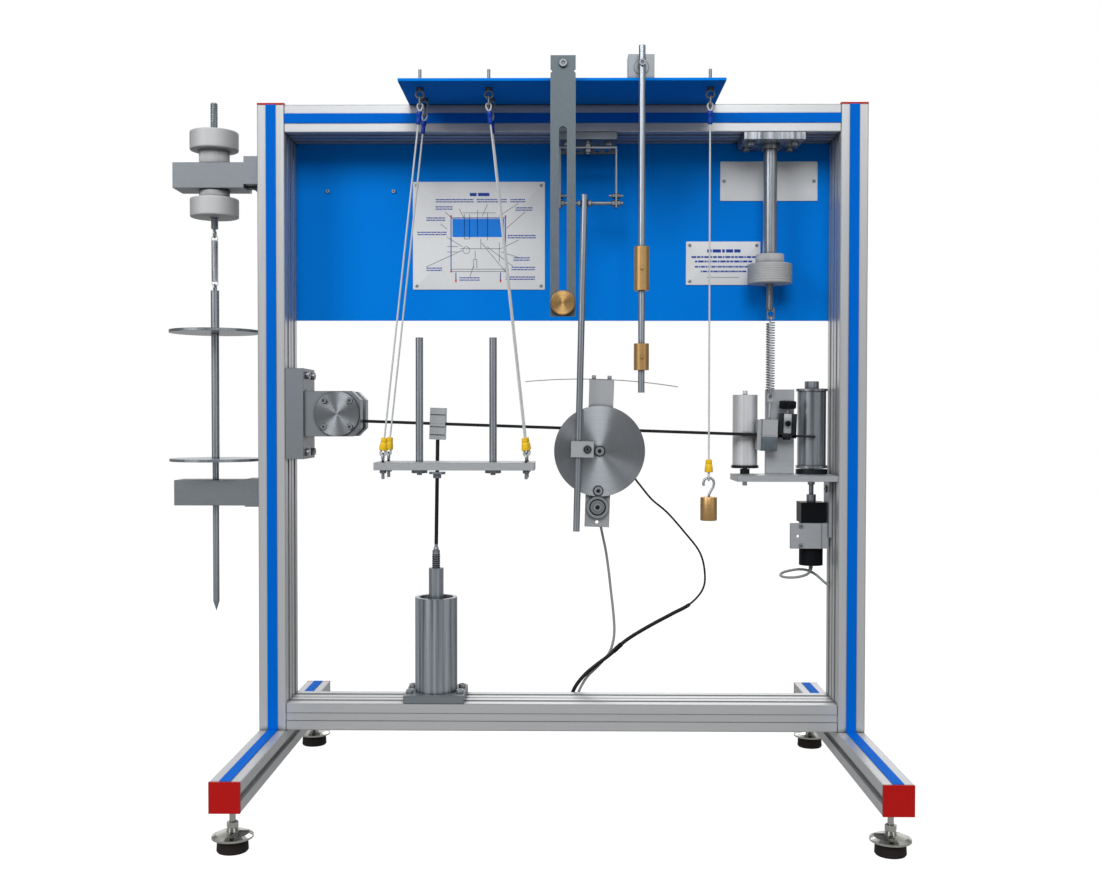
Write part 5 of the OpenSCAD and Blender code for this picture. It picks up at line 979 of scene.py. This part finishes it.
class VIBRATION_OT_signs(bpy.types.Operator):
    """Makes the three sign plates on the panel, with screws, a plain diagram and rows of printed bars."""

    bl_idname = "vibration.signs"
    bl_label = "Sign plates"

    face_y = 45.0
    screw_inset = 6.5
    ink_t = 0.1

    def execute(self, context):
        thick = context.scene.vibration_sizes.sign_t * 1000
        self.front = self.face_y - thick
        for name, x0, x1, z0, z1 in (
            ("diagram_plate", -255, -29, 850, 1034), ("bare_plate", 270, 435.5, 1001, 1068),
            ("name_plate", 212, 339, 858, 932),
        ):
            middle = ((x0 + x1) / 2, self.face_y - thick / 2, (z0 + z1) / 2)
            plate = slab(middle, ((x1 - x0) / 2, (z1 - z0) / 2), thick, 1.5, 0.4)
            add_piece(name, [plate], "White sign lacquer", "frame")
            inset = self.screw_inset
            rows = [middle[2]] if name == "bare_plate" else [z0 + inset, z1 - inset]
            heads = [self.screw(x, z) for x in (x0 + inset, x1 - inset) for z in rows]
            add_piece(name + "_screws", heads, "Zinc plated steel", "frame")
        self.diagram()
        self.name_bars()
        return {"FINISHED"}

    def screw(self, x, z):
        """A low domed screw head with a socket, its back on the plate's face."""
        profile = [(0, 0.6), (1.1, 0.6), (1.2, 1.5), (2.2, 1.3), (2.9, 0.6), (3.0, 0.0), (0, 0.0)]
        return turned(np.array(profile) * (1, -1), (x, self.front, z), "Y", 24)

    def bars(self, name, ends, wide, ink):
        """One printed piece of flat bars, each from (x0, z0) to (x1, z1) and as thick as the ink."""
        e = np.asarray(ends, float)
        a, b = e[:, :2], e[:, 2:]
        way = (b - a) / np.linalg.norm(b - a, axis=1, keepdims=True)
        off = np.stack([-way[:, 1], way[:, 0]], -1) * np.asarray(wide, float).reshape(-1, 1) / 2
        ring = np.stack([a - off, b - off, b + off, a + off], 1)
        depth = np.array([self.front, self.front - self.ink_t])
        shape = (len(e), len(depth), 4)
        x = np.broadcast_to(ring[:, None, :, 0], shape)
        z = np.broadcast_to(ring[:, None, :, 1], shape)
        y = np.broadcast_to(depth[None, :, None], shape)
        add_piece(name, list(np.stack([x, y, z], -1)), ink + " screen print", "frame")

    def diagram(self):
        """A plain drawing of a portal, its panel, hung pieces, beam and feet, with leader lines."""
        x0, z1, wide, high = -255, 1034, 226, 184

        def on_plate(shares):
            """Shares of the plate's width and height, from its upper left corner, as mm."""
            a, b, c, d = np.asarray(shares, float).T
            return np.stack([x0 + a * wide, z1 - b * high, x0 + c * wide, z1 - d * high], -1)

        self.bars("diagram_panel", on_plate([(0.3, 0.428, 0.693, 0.428)]), 31, "Panel blue")
        portal = [
            (0.289, 0.32, 0.289, 0.83), (0.702, 0.32, 0.702, 0.83), (0.326, 0.84, 0.326, 0.91),
            (0.664, 0.84, 0.664, 0.91), (0.289, 0.335, 0.702, 0.335),
        ]
        self.bars("diagram_portal", on_plate(portal), 1.6, "Blue")
        caps = [
            (0.326, 0.905, 0.326, 0.93), (0.664, 0.905, 0.664, 0.93), (0.289, 0.31, 0.289, 0.325),
            (0.702, 0.31, 0.702, 0.325), (0.289, 0.825, 0.289, 0.84), (0.702, 0.825, 0.702, 0.84),
        ]
        self.bars("diagram_ends", on_plate(caps), 2.6, "Red")
        pieces = [
            (0.377, 0.288, 0.628, 0.288), (0.289, 0.81, 0.702, 0.81), (0.289, 0.832, 0.702, 0.832),
            (0.36, 0.62, 0.67, 0.62), (0.39, 0.3, 0.39, 0.53), (0.43, 0.3, 0.43, 0.53),
            (0.49, 0.26, 0.49, 0.5), (0.566, 0.29, 0.566, 0.54), (0.515, 0.53, 0.515, 0.62),
            (0.472, 0.64, 0.472, 0.72), (0.46, 0.72, 0.46, 0.8), (0.484, 0.72, 0.484, 0.8),
            (0.46, 0.72, 0.484, 0.72), (0.655, 0.56, 0.655, 0.74), (0.39, 0.53, 0.43, 0.53),
            (0.26, 0.6, 0.34, 0.6), (0.26, 0.65, 0.34, 0.65),
        ]
        leaders = [
            (0.35, 0.25, 0.385, 0.33), (0.565, 0.21, 0.525, 0.32), (0.8, 0.2, 0.65, 0.32),
            (0.245, 0.28, 0.289, 0.33), (0.21, 0.39, 0.26, 0.44), (0.85, 0.28, 0.71, 0.43),
            (0.255, 0.51, 0.375, 0.6), (0.1, 0.79, 0.375, 0.635), (0.8, 0.54, 0.675, 0.615),
            (0.81, 0.705, 0.67, 0.65), (0.76, 0.785, 0.56, 0.6), (0.73, 0.875, 0.52, 0.565),
            (0.43, 0.885, 0.46, 0.78),
        ]
        self.bars("diagram_lines", on_plate(pieces + leaders), 0.9, "Grey")
        turn = np.linspace(0, 2 * np.pi, 25)
        rim = np.stack([0.405 + 0.026 * np.cos(turn), 0.633 + 0.032 * np.sin(turn)], -1)
        self.bars("diagram_disc", on_plate(np.concatenate([rim[:-1], rim[1:]], 1)), 0.8, "Grey")
        labels = [
            (0.17, 0.165, 0.46), (0.48, 0.165, 0.71), (0.735, 0.165, 0.85), (0.17, 0.232, 0.3),
            (0.1, 0.335, 0.245), (0.03, 0.468, 0.255), (0.775, 0.242, 0.905), (0.715, 0.498, 0.93),
            (0.76, 0.705, 0.885), (0.745, 0.793, 0.925), (0.7, 0.883, 0.925), (0.1, 0.8, 0.22),
            (0.35, 0.89, 0.505),
        ]
        ends = [self.bar_row(x0 + a * wide, z1 - (z + step) * high, x0 + b * wide, 2.4)
                for a, z, b in labels for step in (0, 0.021)]
        self.bars("diagram_labels", np.concatenate(ends), 1.9, "Blue")
        title = self.bar_row(x0 + 0.42 * wide, z1 - 0.118 * high, x0 + 0.58 * wide, 9)
        self.bars("diagram_title", title, 5.5, "Blue")

    def bar_row(self, x0, z, x1, mean):
        """Ends of the bars of one row: their lengths vary round a mean by a fixed wave."""
        count = max(2, int((x1 - x0) / (1.45 * mean)))
        share = 1 + 0.45 * np.sin(np.arange(count) * 2.4 + x0 + z)
        right = x0 + np.cumsum(share) / share.sum() * (x1 - x0)
        left = np.concatenate([[x0], right[:-1]]) + 0.28 * mean
        return np.stack([left, np.full(count, z), right, np.full(count, z)], -1)

    def name_bars(self):
        """Rows of bars on the name plate, one tall, two middling and two small, and a thin rule."""
        ends, wide = [], []
        for x0, z, x1, mean, tall in (
            (246, 916, 305, 7, 5.5), (220, 905.5, 331, 5, 3.2), (226, 898, 325, 5, 3.2),
            (226, 889, 325, 4, 2.8), (236, 881, 315, 4, 2.8),
        ):
            row = self.bar_row(x0, z, x1, mean)
            ends.append(row)
            wide += [tall] * len(row)
        self.bars("name_rows", np.concatenate(ends), wide, "Blue")
        self.bars("name_rule", [(248, 871, 303, 871)], 0.8, "Grey")


class VIBRATION_OT_finishes(bpy.types.Operator):
    """Gives each carried-over solid its finish."""

    bl_idname = "vibration.finishes"
    bl_label = "Finishes"

    def execute(self, context):
        made = finishes()
        for part in frame["record"]["subparts"]:
            node = part["node"]
            slots = frame["nodes"][node].data.materials
            slots.clear()
            slots.append(made[NODE_FINISH.get(node, SLOT_FINISH[part["material_slot"]])])
        return {"FINISHED"}


class VIBRATION_PT_panel(bpy.types.Panel):
    """Lists the pieces, sizes and colours."""

    bl_label = "Vibration frame"
    bl_idname = "VIBRATION_PT_panel"
    bl_space_type = "VIEW_3D"
    bl_region_type = "UI"
    bl_category = "Vibration"

    def draw(self, context):
        for operator in OPERATORS:
            self.layout.operator(operator.bl_idname)
        for group in (context.scene.vibration_sizes, context.scene.vibration_colours):
            for name in group.__annotations__:
                self.layout.prop(group, name)


OPERATORS = (
    VIBRATION_OT_stage, VIBRATION_OT_leads, VIBRATION_OT_cords, VIBRATION_OT_springs, VIBRATION_OT_studs,
    VIBRATION_OT_hand_nuts, VIBRATION_OT_pen_holder, VIBRATION_OT_fittings, VIBRATION_OT_signs,
    VIBRATION_OT_finishes,
)
CLASSES = (VibrationSizes, VibrationColours, *OPERATORS, VIBRATION_PT_panel)


def register():
    for cls in CLASSES:
        bpy.utils.register_class(cls)
    bpy.types.Scene.vibration_sizes = PointerProperty(type=VibrationSizes)
    bpy.types.Scene.vibration_colours = PointerProperty(type=VibrationColours)


def unregister():
    del bpy.types.Scene.vibration_colours
    del bpy.types.Scene.vibration_sizes
    for cls in reversed(CLASSES):
        bpy.utils.unregister_class(cls)


def main():
    register()
    for operator in OPERATORS:
        group, name = operator.bl_idname.split(".")
        getattr(getattr(bpy.ops, group), name)()


if __name__ == "__main__":
    main()
